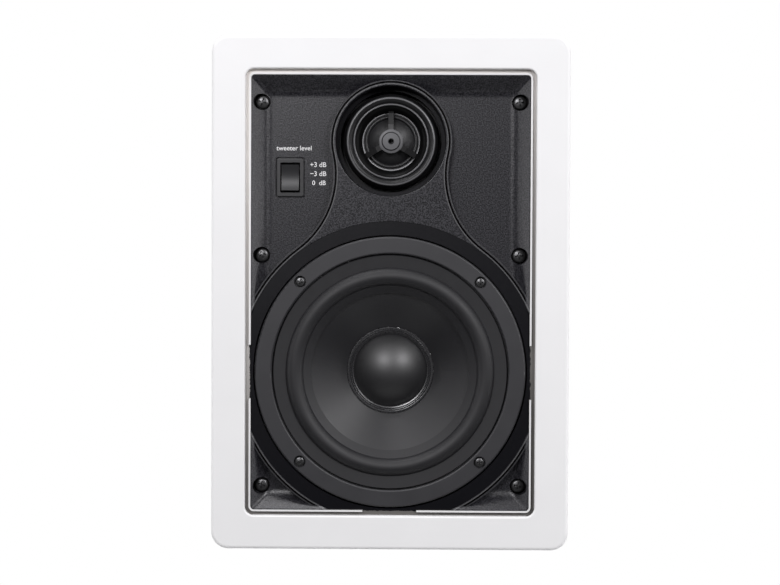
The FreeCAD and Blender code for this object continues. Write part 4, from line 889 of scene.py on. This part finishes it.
mesh = bmesh.new()
for z in (56.8, 62.4):
    for side in (-1, 1):
        bent_lead(mesh, choke_x + side * 9.9, 14.9, z, side, board_y - 0.6)
bmesh.ops.holes_fill(mesh, edges=[edge for edge in mesh.edges if edge.is_boundary], sides=8)
bmesh.ops.recalc_face_normals(mesh, faces=mesh.faces)
stand_on_board(mesh, "resistor_leads", 0, 0, solder_tin, "tab_brass")


# Wire terminals. A black block soldered to the board, with a red and a black spring button.
def red_button(place):
    mottle = cloud(place, 0.003)
    return {"Base Color": tint(mottle, (0.42, 0.012, 0.010), (0.52, 0.020, 0.016)),
            "Roughness": 0.30 + 0.12 * mottle,
            "Normal": relief(cloud(place, 0.0007), 0.00002)}


dress(finish("terminal_black", satin_black), "terminal_block")
dress(finish("button_red", red_button), "terminal_button_red")
dress(finish("button_black", satin_black), "terminal_button_black")
printed_mark("sign_plus", "+", 0.0622, 0.01263, 0.0368, 0.0026, math.pi)
printed_mark("sign_minus", "−", 0.0509, 0.01263, 0.0368, 0.0026, math.pi)


# Studio. A pale floor below the part, two soft boxes above and in front, one box at each side, above
# and behind, a room that glows faintly, a white backdrop, and the photograph's camera.
mesh = bmesh.new()
bmesh.ops.create_grid(mesh, x_segments=1, y_segments=1, size=1.0)
bmesh.ops.scale(mesh, vec=(1.6, 0.8, 1.0), verts=mesh.verts)
bmesh.ops.translate(mesh, vec=(0, 0.72, -0.5), verts=mesh.verts)
floor = made_object(mesh, "floor", smooth=False)


def pale_floor(place):
    return {"Base Color": tint(cloud(place, 0.2), (0.78, 0.78, 0.78), (0.82, 0.82, 0.82))}


floor.data.materials.append(finish("floor_pale", pale_floor, Roughness=0.8))

for name, place, width, height, watts in (
        ("soft_box_left", (-0.43, -1.43, 0.60), 0.42, 0.42, 10.9),
        ("soft_box_right", (0.775, -1.28, 0.60), 0.30, 0.30, 10.0),
        ("side_box_left", (-1.0, -0.12, 0.05), 0.32, 0.6, 2.0),
        ("side_box_right", (1.0, -0.12, 0.05), 0.32, 0.6, 2.6),
        ("top_box", (-0.34, -0.24, 1.4), 0.8, 0.4, 8.4),
        ("back_box", (0.55, 1.2, 0.75), 0.6, 0.6, 10.0)):
    lamp = bpy.data.lights.new(name, "AREA")
    lamp.shape, lamp.size, lamp.size_y, lamp.energy = "RECTANGLE", width, height, watts
    lamp.color = (0.985, 0.975, 1.0)
    box = bpy.data.objects.new(name, lamp)
    aim = (-Vector(place)).to_track_quat("-Z", "Y")
    box.matrix_world = Matrix.Translation(place) @ aim.to_matrix().to_4x4()
    bpy.context.scene.collection.objects.link(box)

world = bpy.data.worlds.new("studio")
world.use_nodes = True
bpy.context.scene.world = world
tree = world.node_tree
way = Shade(tree).node("TexCoord", output="Generated")
depth, height = split(way)[1:]
behind = depth > 0.0
panels = (1 - depth * depth) * ramp(height, -0.3, 0.4)
camera_ray = way.node("LightPath", output="Is Camera Ray")
glossy_ray = way.node("LightPath", output="Is Glossy Ray")
through_ray = way.node("LightPath", output="Is Transmission Ray")
seen = camera_ray + through_ray + glossy_ray * behind
seen = seen.math("MINIMUM", seen, 1.0)
backdrop = tree.nodes["Background"]
backdrop.inputs["Color"].default_value = (1, 1, 1, 1)
table = (height + 0.80) / 0.12
table = (1 - table * table).math("MAXIMUM", 1 - table * table, 0.0)
room = 0.03 + 0.09 * panels + 0.55 * table + 0.45 * depth.math("MAXIMUM", depth, 0.0)
for wall, glow in (((0.637, -0.446, 0.629), 1.4), ((-0.637, -0.446, 0.629), 0.75),
                   ((0, -0.40, 0.917), 0.06)):
    facing = way.node("VectorMath", {"operation": "DOT_PRODUCT"}, {0: way, 1: wall}, output="Value")
    room = room + glow * facing.math("MAXIMUM", facing, 0.0) ** 10.0
tree.links.new((room + (1 - room) * seen).socket, backdrop.inputs["Strength"])

view = bpy.data.cameras.new("camera")
view.sensor_width, view.lens = 36.0, 83.5
camera = bpy.data.objects.new("camera", view)
camera.matrix_world = (Matrix.Translation((0.014, -1.1, 0.0293)) @ Matrix.Rotation(0.0129, 4, "Z")
                       @ Matrix.Rotation(math.pi / 2 - 0.0264, 4, "X") @ Matrix.Rotation(0.0043, 4, "Z"))
bpy.context.scene.collection.objects.link(camera)
bpy.context.scene.camera = camera
bpy.context.scene.view_settings.view_transform = "Standard"
